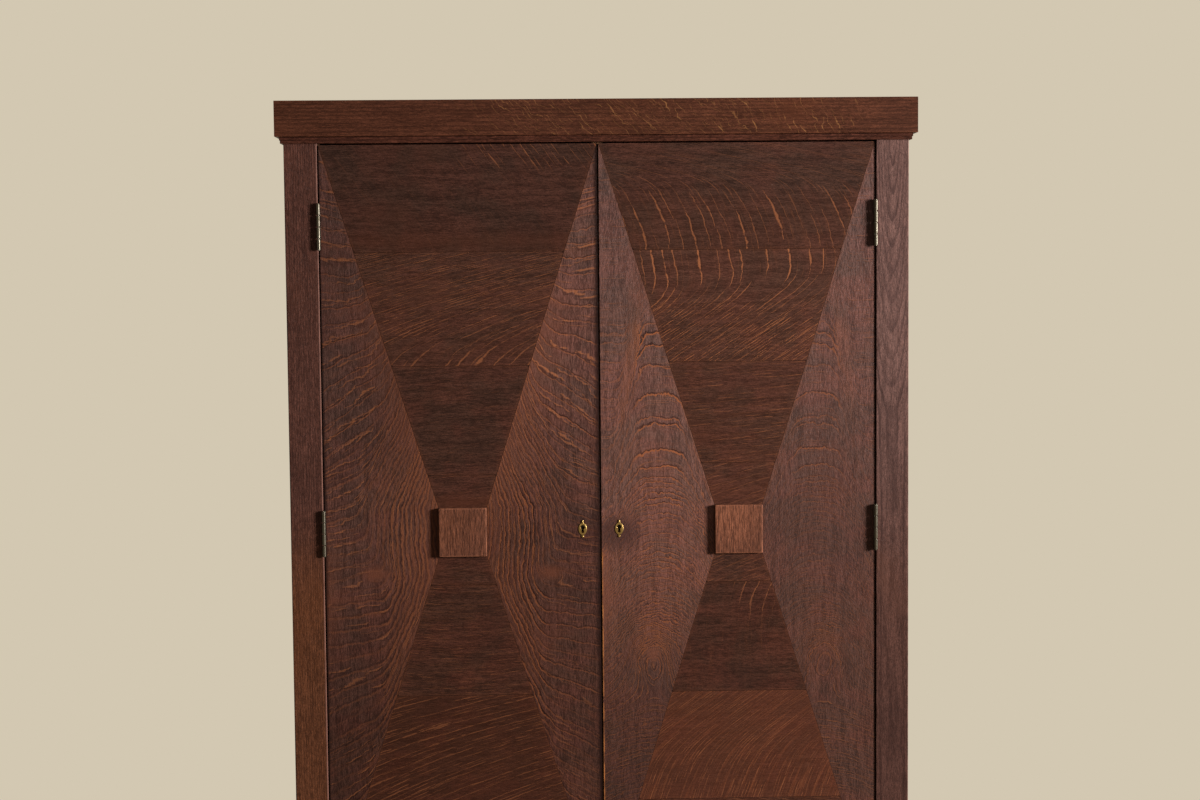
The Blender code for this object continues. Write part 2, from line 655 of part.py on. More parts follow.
def build_door_block(name, side, pivot):
    """The square block on the waist of the hourglass, with its front edges rounded over."""
    back_y = DOOR_FACE_Y - GAP
    x_span = (DOOR_MID_X - BLOCK_WIDTH / 2, DOOR_MID_X + BLOCK_WIDTH / 2)
    z_span = (DOOR_MID_Z - BLOCK_HEIGHT / 2, DOOR_MID_Z + BLOCK_HEIGHT / 2)
    low, high = corners(side, x_span, (back_y - BLOCK_THICKNESS, back_y), z_span)
    bm = box_mesh(low, high)
    front = [e for e in bm.edges if min(v.co.y for v in e.verts) < back_y]
    bmesh.ops.bevel(
        bm,
        geom=front,
        offset=BLOCK_BEVEL,
        segments=BEVEL_SEGMENTS,
        profile=BLOCK_BEVEL_SHARE,
        affect="EDGES",
    )
    finish_piece(add_object(f"{name}_door_block", bm, centre_of(low, high), pivot), "block_oak", True)


def build_escutcheon(name, side, pivot):
    back_y = DOOR_FACE_Y - GAP
    front_y = back_y - ESCUTCHEON_THICKNESS
    outline = escutcheon_outline(side)
    plate = prism(f"{name}_escutcheon", outline, "Y", front_y, back_y, "brass", pivot, smooth=True)
    combine(plate, keyhole_mesh(side, front_y - OVERRUN, back_y + OVERRUN))


def build_lock(name, side, pivot):
    """The lock case on the back of the door and the bolt that slides out of its edge."""
    x_span = (LOCK_EDGE_X, LOCK_EDGE_X + LOCK_WIDTH)
    z_span = (KEYHOLE_Z - LOCK_HEIGHT / 2, KEYHOLE_Z + LOCK_HEIGHT / 2)
    low, high = corners(side, x_span, (LOCK_FRONT_Y, LOCK_BACK_Y), z_span)
    case = box(f"{name}_lock_case", low, high, "lock_steel", pivot)
    half_thickness = BOLT_THICKNESS / 2
    combine(case, keyhole_mesh(side, LOCK_FRONT_Y - OVERRUN, BOLT_Y))
    combine(case, key_well_mesh(side, LOCK_FRONT_Y + LOCK_WALL, BOLT_Y + half_thickness))

    half_height = BOLT_HEIGHT / 2
    tunnel_x = (LOCK_EDGE_X - OVERRUN, BOLT_NOSE_X + BOLT_LENGTH + BOLT_CLEARANCE)
    tunnel_y = (BOLT_Y - half_thickness - BOLT_CLEARANCE, BOLT_Y + half_thickness + BOLT_CLEARANCE)
    tunnel_z = (BOLT_Z - half_height - BOLT_CLEARANCE, BOLT_Z + half_height + BOLT_CLEARANCE)
    cut_box(case, *corners(side, tunnel_x, tunnel_y, tunnel_z))

    bolt_x = (BOLT_NOSE_X, BOLT_NOSE_X + BOLT_LENGTH)
    bolt_y = (BOLT_Y - half_thickness, BOLT_Y + half_thickness)
    bolt_z = (BOLT_Z - half_height, BOLT_Z + half_height)
    bolt = box(f"{name}_lock_bolt", *corners(side, bolt_x, bolt_y, bolt_z), "brass", pivot)
    talon_x = (KEYHOLE_X - TALON_WIDTH / 2, KEYHOLE_X + TALON_WIDTH / 2)
    talon_y = (bolt_y[0] - OVERRUN, bolt_y[1] + OVERRUN)
    cut_box(bolt, *corners(side, talon_x, talon_y, (bolt_z[0] - OVERRUN, bolt_z[0] + TALON_DEPTH)))


def knuckle_spans(height):
    """Low and high end of each knuckle, from the top of the barrel down."""
    pitch = HINGE_LENGTH / KNUCKLES
    top = height + HINGE_LENGTH / 2
    return [(top - pitch * (i + 1) + GAP / 2, top - pitch * i - GAP / 2) for i in range(KNUCKLES)]


def leaf_outline(height, spans):
    """Side view of a leaf: a plate with a tab reaching to the barrel at each of its own knuckles."""
    plate_y = HINGE_AXIS_Y + BARREL_RADIUS + KNUCKLE_CLEARANCE
    back_y = FRONT_Y + LEAF_WIDTH
    low_z = height - HINGE_LENGTH / 2
    high_z = height + HINGE_LENGTH / 2
    points = [(plate_y, high_z), (back_y, high_z), (back_y, low_z), (plate_y, low_z)]
    for low, high in reversed(spans):
        points += [(plate_y, low), (HINGE_AXIS_Y, low), (HINGE_AXIS_Y, high), (plate_y, high)]
    return points


def build_leaf(name, side, height, face_x, inward, spans, parent=None):
    """A hinge leaf: its plate in the wood at face_x, its knuckles on the barrel, the pin's bore."""
    xs = sorted((side * face_x, side * (face_x + inward * LEAF_THICKNESS)))
    leaf = prism(name, leaf_outline(height, spans), "X", *xs, "hinge_brass", parent, smooth=True)
    axis_x = side * HINGE_AXIS_X
    for low, high in spans:
        knuckle = turned_mesh(axis_x, HINGE_AXIS_Y, [(BARREL_RADIUS, low), (BARREL_RADIUS, high)])
        combine(leaf, knuckle, "UNION")
    bore = PIN_RADIUS + PIN_CLEARANCE
    low = height - HINGE_LENGTH / 2 - OVERRUN
    high = height + HINGE_LENGTH / 2 + OVERRUN
    combine(leaf, turned_mesh(axis_x, HINGE_AXIS_Y, [(bore, low), (bore, high)]))


def build_pin(name, side, height):
    """A loose pin whose head rests on the top knuckle, with a tip showing under the last one."""
    low = height - HINGE_LENGTH / 2
    high = height + HINGE_LENGTH / 2
    chamfer = PIN_TIP_LENGTH / 2
    profile = [
        (PIN_RADIUS - chamfer, low - PIN_TIP_LENGTH),
        (PIN_RADIUS, low - chamfer),
        (PIN_RADIUS, high + GAP),
        (PIN_HEAD_RADIUS, high + GAP),
        (PIN_HEAD_RADIUS, high + PIN_HEAD_HEIGHT - chamfer),
        (PIN_HEAD_RADIUS - chamfer, high + PIN_HEAD_HEIGHT),
    ]
    bm = turned_mesh(side * HINGE_AXIS_X, HINGE_AXIS_Y, profile)
    centre = Vector((side * HINGE_AXIS_X, HINGE_AXIS_Y, height))
    finish_piece(add_object(name, bm, centre), "hinge_brass", True)


def build_hinges(name, side, pivot):
    """Three hinges a door: knuckles 1 and 3 belong to the frame's leaf, 2 and 4 to the door's."""
    for level, height in HINGE_HEIGHTS.items():
        stem = f"{name}_{level}_hinge"
        spans = knuckle_spans(height)
        build_leaf(f"{stem}_frame_leaf", side, height, POST_INNER_X, 1, spans[0::2])
        build_leaf(f"{stem}_door_leaf", side, height, DOOR_OUTER_X, -1, spans[1::2], pivot)
        build_pin(f"{stem}_pin", side, height)


def build_door(name, side):
    pivot = add_pivot(f"{name}_door_pivot", Vector((side * HINGE_AXIS_X, HINGE_AXIS_Y, DOOR_LOW_Z)))
    build_door_core(name, side, pivot)
    build_veneers(name, side, pivot)
    build_door_block(name, side, pivot)
    build_escutcheon(name, side, pivot)
    build_lock(name, side, pivot)
    build_hinges(name, side, pivot)


def main():
    clear_scene()
    build_front_rails()
    build_back_panel()
    build_top_board()
    build_bottom_board()
    build_partition()
    build_cornice()
    for name, side in SIDES.items():
        build_front_post(name, side)
        build_back_post(name, side)
        build_side_rails(name, side)
        build_side_panel(name, side)
        build_shelves(name, side)
        build_door(name, side)
    bpy.context.view_layer.update()


main()
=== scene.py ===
"""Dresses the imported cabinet: figured oak veneers, worn oak boards, brass hinges and escutcheons.

Laid out as a Blender add-on and run as a script. Lengths are in metres, the doors face -Y and
+Z is up. Depth, in the names below, is measured down from the top edge of the doors.
"""

import functools
import math

import bmesh
import bpy
import numpy as np
from mathutils import Matrix, Vector


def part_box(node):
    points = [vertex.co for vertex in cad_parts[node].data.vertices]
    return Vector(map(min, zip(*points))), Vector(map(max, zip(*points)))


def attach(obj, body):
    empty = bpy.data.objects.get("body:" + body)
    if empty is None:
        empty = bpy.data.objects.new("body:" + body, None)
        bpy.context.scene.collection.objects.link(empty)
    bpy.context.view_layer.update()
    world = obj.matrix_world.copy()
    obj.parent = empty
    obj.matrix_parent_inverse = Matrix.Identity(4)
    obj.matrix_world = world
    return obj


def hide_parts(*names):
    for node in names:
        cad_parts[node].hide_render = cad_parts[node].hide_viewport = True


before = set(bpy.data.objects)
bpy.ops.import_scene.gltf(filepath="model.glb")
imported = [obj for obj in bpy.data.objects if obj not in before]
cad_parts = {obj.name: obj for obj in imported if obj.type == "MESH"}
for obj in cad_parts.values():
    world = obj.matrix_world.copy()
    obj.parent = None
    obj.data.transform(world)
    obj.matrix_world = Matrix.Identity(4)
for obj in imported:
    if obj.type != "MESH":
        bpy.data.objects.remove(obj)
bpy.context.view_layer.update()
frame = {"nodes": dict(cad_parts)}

bl_info = {
    "name": "Marquetry cabinet",
    "version": (1, 0, 0),
    "blender": (4, 5, 0),
    "location": "3D View > Sidebar > Cabinet",
    "description": "Builds the veneers, boards and fittings of a two-door oak cabinet",
    "category": "Object",
}

SIDES = {"left": -1, "right": 1}
LEVELS = ("top", "middle", "bottom")

# Places read from the frame
DOOR_LOW, DOOR_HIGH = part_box("right_door_core")
VENEER_FRONT_Y, VENEER_BACK_Y = (corner.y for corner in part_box("right_inner_veneer"))
DOOR_MID_X = (DOOR_LOW.x + DOOR_HIGH.x) / 2
HALF_DOOR = (DOOR_HIGH.x - DOOR_LOW.x) / 2
DOOR_HEIGHT = DOOR_HIGH.z - DOOR_LOW.z
BLOCK_LOW, BLOCK_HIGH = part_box("right_door_block")
HALF_WAIST = (BLOCK_HIGH.x - BLOCK_LOW.x) / 2
WAIST_DEPTHS = (DOOR_HIGH.z - BLOCK_HIGH.z, DOOR_HIGH.z - BLOCK_LOW.z)
DIAGONAL_SLANT = (DOOR_HEIGHT / 2) / math.hypot(DOOR_HEIGHT / 2, HALF_DOOR - HALF_WAIST)
POST_LOW, POST_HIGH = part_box("front_right_post")
BACK_POST_LOW, BACK_POST_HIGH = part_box("back_right_post")
HINGE_AXIS_X = (POST_LOW.x + DOOR_HIGH.x) / 2
PIN_LOW, PIN_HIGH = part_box("right_middle_hinge_pin")
HINGE_AXIS_Y = (PIN_LOW.y + PIN_HIGH.y) / 2
ESCUTCHEON_LOW, ESCUTCHEON_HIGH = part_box("right_escutcheon")
KEYHOLE_X = (ESCUTCHEON_LOW.x + ESCUTCHEON_HIGH.x) / 2
PLATE_Z = (ESCUTCHEON_LOW.z + ESCUTCHEON_HIGH.z) / 2
KEYHOLE_RISE = 0.0035
KEYHOLE_Z = PLATE_Z + KEYHOLE_RISE
# The frame's boards are finished up to the first of these places and bare from the second on
BEHIND_DOORS = (DOOR_HIGH.y - 0.0025, DOOR_HIGH.y - 0.0015)

# Depths of the joints between the hourglass leaves of each door
LEAF_JOINTS = {
    "left": (0.2056, 0.4251, 0.6364, 0.8513, 1.0679, 1.2810),
    "right": (0.2046, 0.4210, 0.6177, 0.8511, 1.0665, 1.2800),
}
LEAF_TONES = {
    "left": (0.66, 0.80, 0.76, 0.76, 0.74, 0.56, 0.62),
    "right": (0.74, 0.88, 0.80, 0.82, 0.70, 0.80, 0.74),
}
# Depths of the first arched lines on the right door's fields
ARCH_DEPTHS = (0.365, 0.388, 0.430, 0.485, 0.531, 0.542, 0.593, 0.625, 0.648)
# Depths, and the fields' brightness there: (outer, inner)
TONE_DEPTHS = (0.10, 0.40, 0.75, 1.10, 1.40)
FIELD_TONES = {
    "left": ((0.60, 0.68, 0.80, 0.50, 0.42), (1.00, 1.06, 0.66, 0.58, 0.56)),
    "right": ((0.68, 0.68, 0.52, 0.44, 0.42), (0.70, 0.82, 0.88, 0.42, 0.32)),
}
# Middle of the right fields' arches, and the eye under them, from the door's middle and from its top
ARCH_MIDDLE = 0.153
ARCH_HALF_WIDTH = 0.036
EYE_PLACE = (0.168, 0.992)
# The left fields' lines by depth: how close they lie, how they tilt and where they stand up
LEFT_LEVEL = ((0, 0.30, 0.45, 0.66, 0.80, 1.05, 1.20, 1.5), (0.40, 0.40, 0.34, 0.34, 0.39, 0.39, 0.5, 0.5))
LEFT_TILT = (
    (0, 0.20, 0.28, 0.36, 0.42, 0.50, 0.60, 0.70, 0.80, 0.95, 1.05, 1.15, 1.5),
    (-0.10, -0.08, 0.0, 0.06, 0.14, 0.22, 0.22, 0.12, 0.05, 0.05, 0.12, 0.22, 0.3),
)
LEFT_STAND = (
    (0.30, 0.45, 0.50, 0.55, 0.60, 0.65, 0.70, 0.77, 0.836, 0.90, 1.0, 1.1, 1.2, 1.5),
    (0.10, 0.133, 0.145, 0.160, 0.176, 0.192, 0.200, 0.178, 0.146, 0.143, 0.150, 0.160, 0.180, 0.26),
)
LEAF_GAP = 0.00015
FIELD_GAP = 0.00015
FIELD_END = 0.0008
FIELD_COLUMNS = 33
# Distances between growth lines: above the first and below the last of those marks, and on the left door
LEAD_PITCH = 0.018
RIGHT_PITCH = 0.0096
LEFT_PITCH = 0.0098

# Looks of the veneers: with this stagger a stroke starts anywhere along its lane
SCATTERED = 31.0
# The looks hold the strength of a painted highlight along the joints and of a painted shade line beside each stroke
DARK_LOOK = {"dark_dashes": 0.45, "pale_dashes": 0.34, "contour": 0.35, "stroke_shade": 0.40, "joint_highlight": 0.06}
LIGHT_LOOK = {"dark_dashes": 0.50, "pale_dashes": 0.42, "contour": 0.25, "stroke_shade": 0.80, "joint_highlight": 0.14}
# Painted sheen on the veneers: greyer towards the top and browner towards the foot, between two heights
FOOT_HUE = (1.0, 0.93, 0.88)
PAINTED_SHEEN_HUE = (1.0, 1.11, 1.19)
SHEEN_HEIGHTS = (0.55, 1.60)
KEYHOLE_SOIL = {"left": 0.30, "right": 0.75}
SOIL_DROP = 0.014
SOIL_RADII = (0.058, 0.014)

# Shape settings of the boards and fittings
SMOOTH_BELOW = math.radians(35)
TURNED_SIDES = 32
ARRIS_STEPS = 3
ARRIS_FADE = 0.0025
RAIL_CLEARANCE = 0.0001
# How far past its shown edge a board turns bare, and over what distance
BARE_DEPTH, BARE_FADE = 0.0010, 0.0006
POST_BARE_DEPTH, POST_BARE_FADE = 0.0008, 0.0005
MOULDING_BACK = 0.0003
MITRE_GAP = 0.00015
FRONT_RINGS = 90
RETURN_RINGS = 40
BEAD_ARRIS = 0.0006
BEAD_STEP = 0.0062
BEAD_STEP_DEPTH = 0.0015
KNUCKLES = 4
HINGE_LENGTH = 0.089
BARREL_RADIUS = 0.0036
KNUCKLE_GAP = 0.0018
LEAF_THICKNESS = 0.002
LEAF_PROUD = 0.00015
LEAF_ARRIS = 0.0003
PLATE_REACH = (0.0040, 0.0297)
LUG_REACH = (0.0002, 0.0045)
# Ends of a knuckle, in eases: (in from its radius, up from its foot)
KNUCKLE_EASE = 0.00045
KNUCKLE_END = ((1, 0), (0.3, 0.3), (0, 1), (0, 2))
# Head of a pin: (radius, distance below its top)
PIN_RADIUS = 0.0017
PIN_HEAD = ((0.0017, 0.0012), (0.0024, 0.0012), (0.0027, 0.0009), (0.0026, 0.0005), (0.0019, 0.0001), (0.0010, 0))
KEYHOLE_RADIUS = 0.0040
KEYHOLE_SLOT = 0.0018
KEYHOLE_DROP = 0.0110
KEYHOLE_POINTS = 48
KEYHOLE_CLEARANCE = 1.04
OVAL_HALF_HEIGHT = 0.0118
PIP_RADIUS = 0.0024
BUD_FOOT_Z = 0.0105
BUD_HALF_WIDTHS = (0.0023, 0.0012)
PLATE_COLUMNS = 256
PLATE_ROWS = 27
LIP_SHARE = 0.12

# Camera, worked out from the photograph's straight edges
CAMERA_PLACE = (-0.10621, -3.90007, 1.45971)
CAMERA_PITCH = 0.06445
CAMERA_ROLL = -0.00915
CAMERA_YAW = -0.02904
CAMERA_LENS = 57.0
CAMERA_SENSOR = 36.0
FLOOR_REACH = 1.28
FLOOR_RINGS = 24
FLOOR_SIDES = 64
# Shares of the floor's reach between which it fades
FLOOR_FADE = (0.62, 0.98)
# Place, aim and size of each light
LAMPS = {
    "key": ((5.1, -2.7, 1.95), (0.0, -0.2, 1.1), (1.05, 1.35)),
    "fill": ((-1.6, -4.6, 2.4), (0.0, -0.2, 1.0), (2.6, 2.6)),
    "back": ((-3.0, 4.2, 2.6), (0.0, 0.2, 0.9), (2.6, 2.6)),
}


def srgb(red, green, blue):
    """Linear colour of a display colour given in steps of 255."""
    values = np.array((red, green, blue)) / 255
    low = values / 12.92
    high = ((values + 0.055) / 1.055) ** 2.4
    return tuple(float(v) for v in np.where(values <= 0.04045, low, high))


KNOCK_COLOUR = srgb(176, 160, 140)
SCRATCH_COLOUR = srgb(140, 108, 84)
FRAME_FLECK_COLOUR = srgb(146, 98, 58)


class CabinetFinish(bpy.types.PropertyGroup):
    """Colours of the woods and metals."""

    hourglass: bpy.props.FloatVectorProperty(
        name="Hourglass leaves",
        description="Middle colour of the dark leaves with their grain across the door",
        subtype="COLOR",
        size=3,
        min=0,
        max=1,
        default=srgb(68, 41, 32),
    )
    # Painted sheen: the side fields are the same oak as the hourglass leaves, their colour painted lighter and greyer
    # for the sheen of their upright grain
    field: bpy.props.FloatVectorProperty(
        name="Side fields",
        description="Middle colour of the lighter fields with upright grain",
        subtype="COLOR",
        size=3,
        min=0,
        max=1,
        default=srgb(96, 64, 56),
    )
    fleck: bpy.props.FloatVectorProperty(
        name="Ray flecks",
        description="Colour of the bright strokes in the quarter-sawn oak",
        subtype="COLOR",
        size=3,
        min=0,
        max=1,
        default=srgb(146, 88, 56),
    )
    frame: bpy.props.FloatVectorProperty(
        name="Frame",
        description="Middle colour of the posts, rails and cornice",
        subtype="COLOR",
        size=3,
        min=0,
        max=1,
        default=srgb(83, 50, 40),
    )
    block: bpy.props.FloatVectorProperty(
        name="Door blocks",
        description="Middle colour of the square block on each door",
        subtype="COLOR",
        size=3,
        min=0,
        max=1,
        default=srgb(103, 63, 46),
    )
    inside: bpy.props.FloatVectorProperty(
        name="Inside",
        description="Middle colour of the dry oak inside and behind the cabinet",
        subtype="COLOR",
        size=3,
        min=0,
        max=1,
        default=srgb(134, 96, 66),
    )
    hinge: bpy.props.FloatVectorProperty(
        name="Hinges",
        description="Colour of the hinges' pale brass",
        subtype="COLOR",
        size=3,
        min=0,
        max=1,
        default=srgb(71, 66, 57),
    )
    brass: bpy.props.FloatVectorProperty(
        name="Escutcheons",
        description="Colour of the escutcheons' yellow brass",
        subtype="COLOR",
        size=3,
        min=0,
        max=1,
        default=srgb(140, 114, 68),
    )


class CabinetSizes(bpy.types.PropertyGroup):
    """Sizes that the frame leaves to the dressed pieces."""

    arris: bpy.props.FloatProperty(
        name="Board arris",
        description="Radius to which the boards' edges are worn",
        unit="LENGTH",
        min=0.0002,
        max=0.003,
        default=0.0009,
    )
    block_arris: bpy.props.FloatProperty(
        name="Block arris",
        description="Radius of the rounded front edge of each door block",
        unit="LENGTH",
        min=0.0005,
        max=0.005,
        default=0.0018,
    )
    figure_step: bpy.props.FloatProperty(
        name="Figure step",
        description="Distance between the points at which the figure of a veneer is worked out",
        unit="LENGTH",
        min=0.002,
        max=0.02,
        default=0.005,
    )


class CabinetStage(bpy.types.PropertyGroup):
    """Floor, background and lights."""

    background: bpy.props.FloatVectorProperty(
        name="Background",
        description="Colour seen behind the cabinet",
        subtype="COLOR",
        size=3,
        min=0,
        max=1,
        default=srgb(211, 200, 178),
    )
    floor: bpy.props.FloatVectorProperty(
        name="Floor",
        description="Colour of the plain floor",
        subtype="COLOR",
        size=3,
        min=0,
        max=1,
        default=srgb(200, 190, 170),
    )
    ambient: bpy.props.FloatProperty(
        name="Ambient light",
        description="Strength of the even light from all round",
        min=0,
        max=3,
        default=0.065,
    )
    key: bpy.props.FloatProperty(
        name="Key light",
        description="Strength of the raking light from the right",
        subtype="POWER",
        min=0,
        max=2000,
        default=860,
    )
    fill: bpy.props.FloatProperty(
        name="Fill light",
        description="Strength of the broad light from the front",
        subtype="POWER",
        min=0,
        max=2000,
        default=10,
    )
    back: bpy.props.FloatProperty(
        name="Back light",
        description="Strength of the broad light behind, which reaches only the back and left side",
        subtype="POWER",
        min=0,
        max=2000,
        default=120,
    )


# Meshes


def grid_quads(rows, columns, wrap=False):
    """Faces of a grid of rows by columns points; with wrap the last column joins the first."""
    index = np.arange(rows * columns).reshape(rows, columns)
    if wrap:
        index = np.concatenate([index, index[:, :1]], axis=1)
    corners = (index[:-1, :-1], index[:-1, 1:], index[1:, 1:], index[1:, :-1])
    return np.stack(corners, axis=-1).reshape(-1, 4)


def closed_tube(rows, columns):
    """Faces of a grid that is wrapped into a tube, and of its two ends."""
    last = (rows - 1) * columns
    ends = [list(range(columns)), list(range(last, last + columns))]
    return grid_quads(rows, columns, wrap=True).tolist() + ends


def add_piece(name, points, faces, material):
    """A mesh object at the origin, its faces turned outwards and its sharp edges marked."""
    mesh = bpy.data.meshes.new(name)
    mesh.from_pydata(np.asarray(points, float).reshape(-1, 3).tolist(), [], faces)
    mesh.validate()
    obj = bpy.data.objects.new(name, mesh)
    bpy.context.scene.collection.objects.link(obj)
    mesh.materials.append(material)
    turn_outwards(mesh)
    mesh.shade_smooth()
    mesh.set_sharp_from_angle(angle=SMOOTH_BELOW)
    return obj


def turn_outwards(mesh):
    bm = bmesh.new()
    bm.from_mesh(mesh)
    bmesh.ops.recalc_face_normals(bm, faces=bm.faces)
    bm.to_mesh(mesh)
    bm.free()


def add_uv(mesh, name, values):
    """A UV map from one pair of values for each point."""
    layer = mesh.uv_layers.new(name=name)
    loops = np.empty(len(mesh.loops), np.int32)
    mesh.loops.foreach_get("vertex_index", loops)
    layer.data.foreach_set("uv", np.asarray(values, np.float32).reshape(-1, 2)[loops].ravel())


def add_values(mesh, name, values):
    """A named number for each point."""
    attribute = mesh.attributes.new(name, "FLOAT", "POINT")
    attribute.data.foreach_set("value", np.asarray(values, np.float32).ravel())


def slab(name, front, back_y, material):
    """A sheet: a grid of front points, the same points moved back to one depth, and the rim."""
    rows, columns = front.shape[:2]
    back = front.copy()
    back[..., 1] = back_y
    quads = grid_quads(rows, columns)
    index = np.arange(rows * columns).reshape(rows, columns)
    rim = np.concatenate([index[0, :-1], index[:-1, -1], index[-1, :0:-1], index[:0:-1, 0]])
    ahead = np.roll(rim, -1)
    shift = rows * columns
    sides = np.stack([rim, ahead, ahead + shift, rim + shift], axis=-1)
    faces = np.concatenate([quads, quads[:, ::-1] + shift, sides])
    points = np.concatenate([front.reshape(-1, 3), back.reshape(-1, 3)])
    return add_piece(name, points, faces.tolist(), material)


def twice(values):
    """Values for the front points of a sheet, said again for its back points."""
    values = np.asarray(values)
    return np.concatenate([values, values])


def eased_outline(corners, radius):
    """An outline with each corner an arc: point = arc's centre + radius x direction, outside an
    outward corner and inside an inward one.

    Gives the points, the outward directions and how far each point is into an outward arris.
    """
    corners = np.asarray(corners, float)
    ahead = np.roll(corners, -1, axis=0)
    if np.sum(corners[:, 0] * ahead[:, 1] - ahead[:, 0] * corners[:, 1]) < 0:
        corners = corners[::-1]
    come = corners - np.roll(corners, 1, axis=0)
    come /= np.linalg.norm(come, axis=1, keepdims=True)
    go = np.roll(come, -1, axis=0)
    out_come = np.stack([come[:, 1], -come[:, 0]], axis=1)
    out_go = np.stack([go[:, 1], -go[:, 0]], axis=1)
    side = np.sign(come[:, 0] * go[:, 1] - come[:, 1] * go[:, 0])[:, None]
    centre = corners - side * radius * (out_come + out_go)
    share = np.linspace(0, 1, ARRIS_STEPS + 1)[None, :, None]
    turn = (1 - share) * out_come[:, None] + share * out_go[:, None]
    turn /= np.linalg.norm(turn, axis=2, keepdims=True)
    arc = centre[:, None] + side[:, None] * radius * turn
    fade = min(ARRIS_FADE, radius * 2)
    before, after = arc[:, :1] - come[:, None] * fade, arc[:, -1:] + go[:, None] * fade
    points = np.concatenate([before, arc, after], axis=1)
    directions = np.concatenate([out_come[:, None], turn, out_go[:, None]], axis=1)
    wear_and_highlight = (side > 0) * (0.45 + 0.55 * np.sin(math.pi * share[..., 0]))
    arris = np.pad(wear_and_highlight, ((0, 0), (1, 1)))
    return points.reshape(-1, 2), directions.reshape(-1, 2), arris.ravel()


def wear_along(places, seed):
    """A slow uneven wave of places, from -1 to 1, for wear that comes and goes along an edge."""
    waves = [math.sin(seed * 1.7) * np.sin(places * 23 + seed), np.sin(places * 61 + seed * 3.1)]
    return 0.6 * waves[0] + 0.4 * waves[1]


def board(name, corners, axis, low, high, radius, material, step=0.02, seed=0.0):
    """An outline drawn along an axis: ring = outline - direction x inset, which grows at the ends."""
    outline, directions, arris = eased_outline(corners, radius)
    turns = np.linspace(math.pi / 12, math.pi / 2, ARRIS_STEPS + 1)
    count = max(2, int((high - low) / step))
    middle = np.linspace(low + radius, high - radius, count + 1)
    inset = radius * (1 - np.sin(turns[:-1]))
    fall = radius * (1 - np.cos(turns[:-1]))
    places = np.concatenate([low + fall, middle, high - fall[::-1]])
    insets = np.concatenate([inset, np.zeros(len(middle)), inset[::-1]])
    rubbed = np.clip(arris * 1.8 - 0.8, 0, 1)[None]
    wear_and_highlight = 0.25 * radius * (1 + wear_along(places, seed))[:, None] * rubbed
    flat = outline[None] - directions[None] * (insets[:, None] + wear_and_highlight)[..., None]
    centre = (flat.min(axis=(0, 1)) + flat.max(axis=(0, 1))) / 2
    shrink = 1 - ARRIS_FADE / np.maximum(flat.max(axis=(0, 1)) - centre, 2 * ARRIS_FADE)
    caps = centre + (flat[[0, -1]] - centre) * shrink
    flat = np.concatenate([caps[:1], flat, caps[1:]])
    places = np.concatenate([places[:1], places, places[-1:]])
    along = np.broadcast_to(places[:, None], flat.shape[:2])
    order = {"X": (2, 0, 1), "Y": (0, 2, 1), "Z": (0, 1, 2)}[axis]
    points = np.stack([flat[..., 0], flat[..., 1], along], axis=-1)[..., order]
    rows, columns = flat.shape[:2]
    obj = add_piece(name, points, closed_tube(rows, columns), material)
    at_end = np.pad((insets > 0).astype(float), 1)[:, None]
    not_cap = (np.arange(rows) % (rows - 1) > 0)[:, None]
    add_values(obj.data, "arris", np.maximum(at_end, arris[None]) * not_cap)
    return obj


def rectangle(low_u, high_u, low_v, high_v):
    return [(low_u, low_v), (high_u, low_v), (high_u, high_v), (low_u, high_v)]


def moulding(name, section, radius, start, end, material, rings):
    """A section of (out, height) points carried on a straight path between two mitred ends."""
    outline, _, arris = eased_outline(section, radius)
    first = np.stack(start(outline[:, 0], outline[:, 1]), axis=-1)
    last = np.stack(end(outline[:, 0], outline[:, 1]), axis=-1)
    share = np.linspace(0, 1, rings)[:, None, None]
    points = (1 - share) * first[None] + share * last[None]
    obj = add_piece(name, points, closed_tube(rings, len(outline)), material)
    add_values(obj.data, "arris", np.tile(arris, rings))
    return obj


def turned(name, profile, centre, material):
    """A profile of (radius, height) points turned round an upright line."""
    turn = np.linspace(0, 2 * math.pi, TURNED_SIDES, endpoint=False)
    radius, height = np.asarray(profile, float).T[..., None]
    x, y, z = radius * np.cos(turn), radius * np.sin(turn), height + 0 * turn
    points = np.stack([x, y, z], axis=-1) + centre
    return add_piece(name, points, closed_tube(len(profile), TURNED_SIDES), material)


def joined(name, objects):
    """One object from several, their meshes put together as they are."""
    bm = bmesh.new()
    for obj in objects:
        bm.from_mesh(obj.data)
    mesh = bpy.data.meshes.new(name)
    bm.to_mesh(mesh)
    bm.free()
    for material in objects[0].data.materials:
        mesh.materials.append(material)
    for obj in objects:
        bpy.data.objects.remove(obj)
    mesh.shade_smooth()
    mesh.set_sharp_from_angle(angle=SMOOTH_BELOW)
    made = bpy.data.objects.new(name, mesh)
    bpy.context.scene.collection.objects.link(made)
    return made


def settle(obj, body, slot, *nodes):
    """Puts a piece on its body and hides the frame's nodes that it stands for; slot, its finish, is not used."""
    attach(obj, body)
    if nodes:
        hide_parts(*nodes)
    return obj


# Shader building


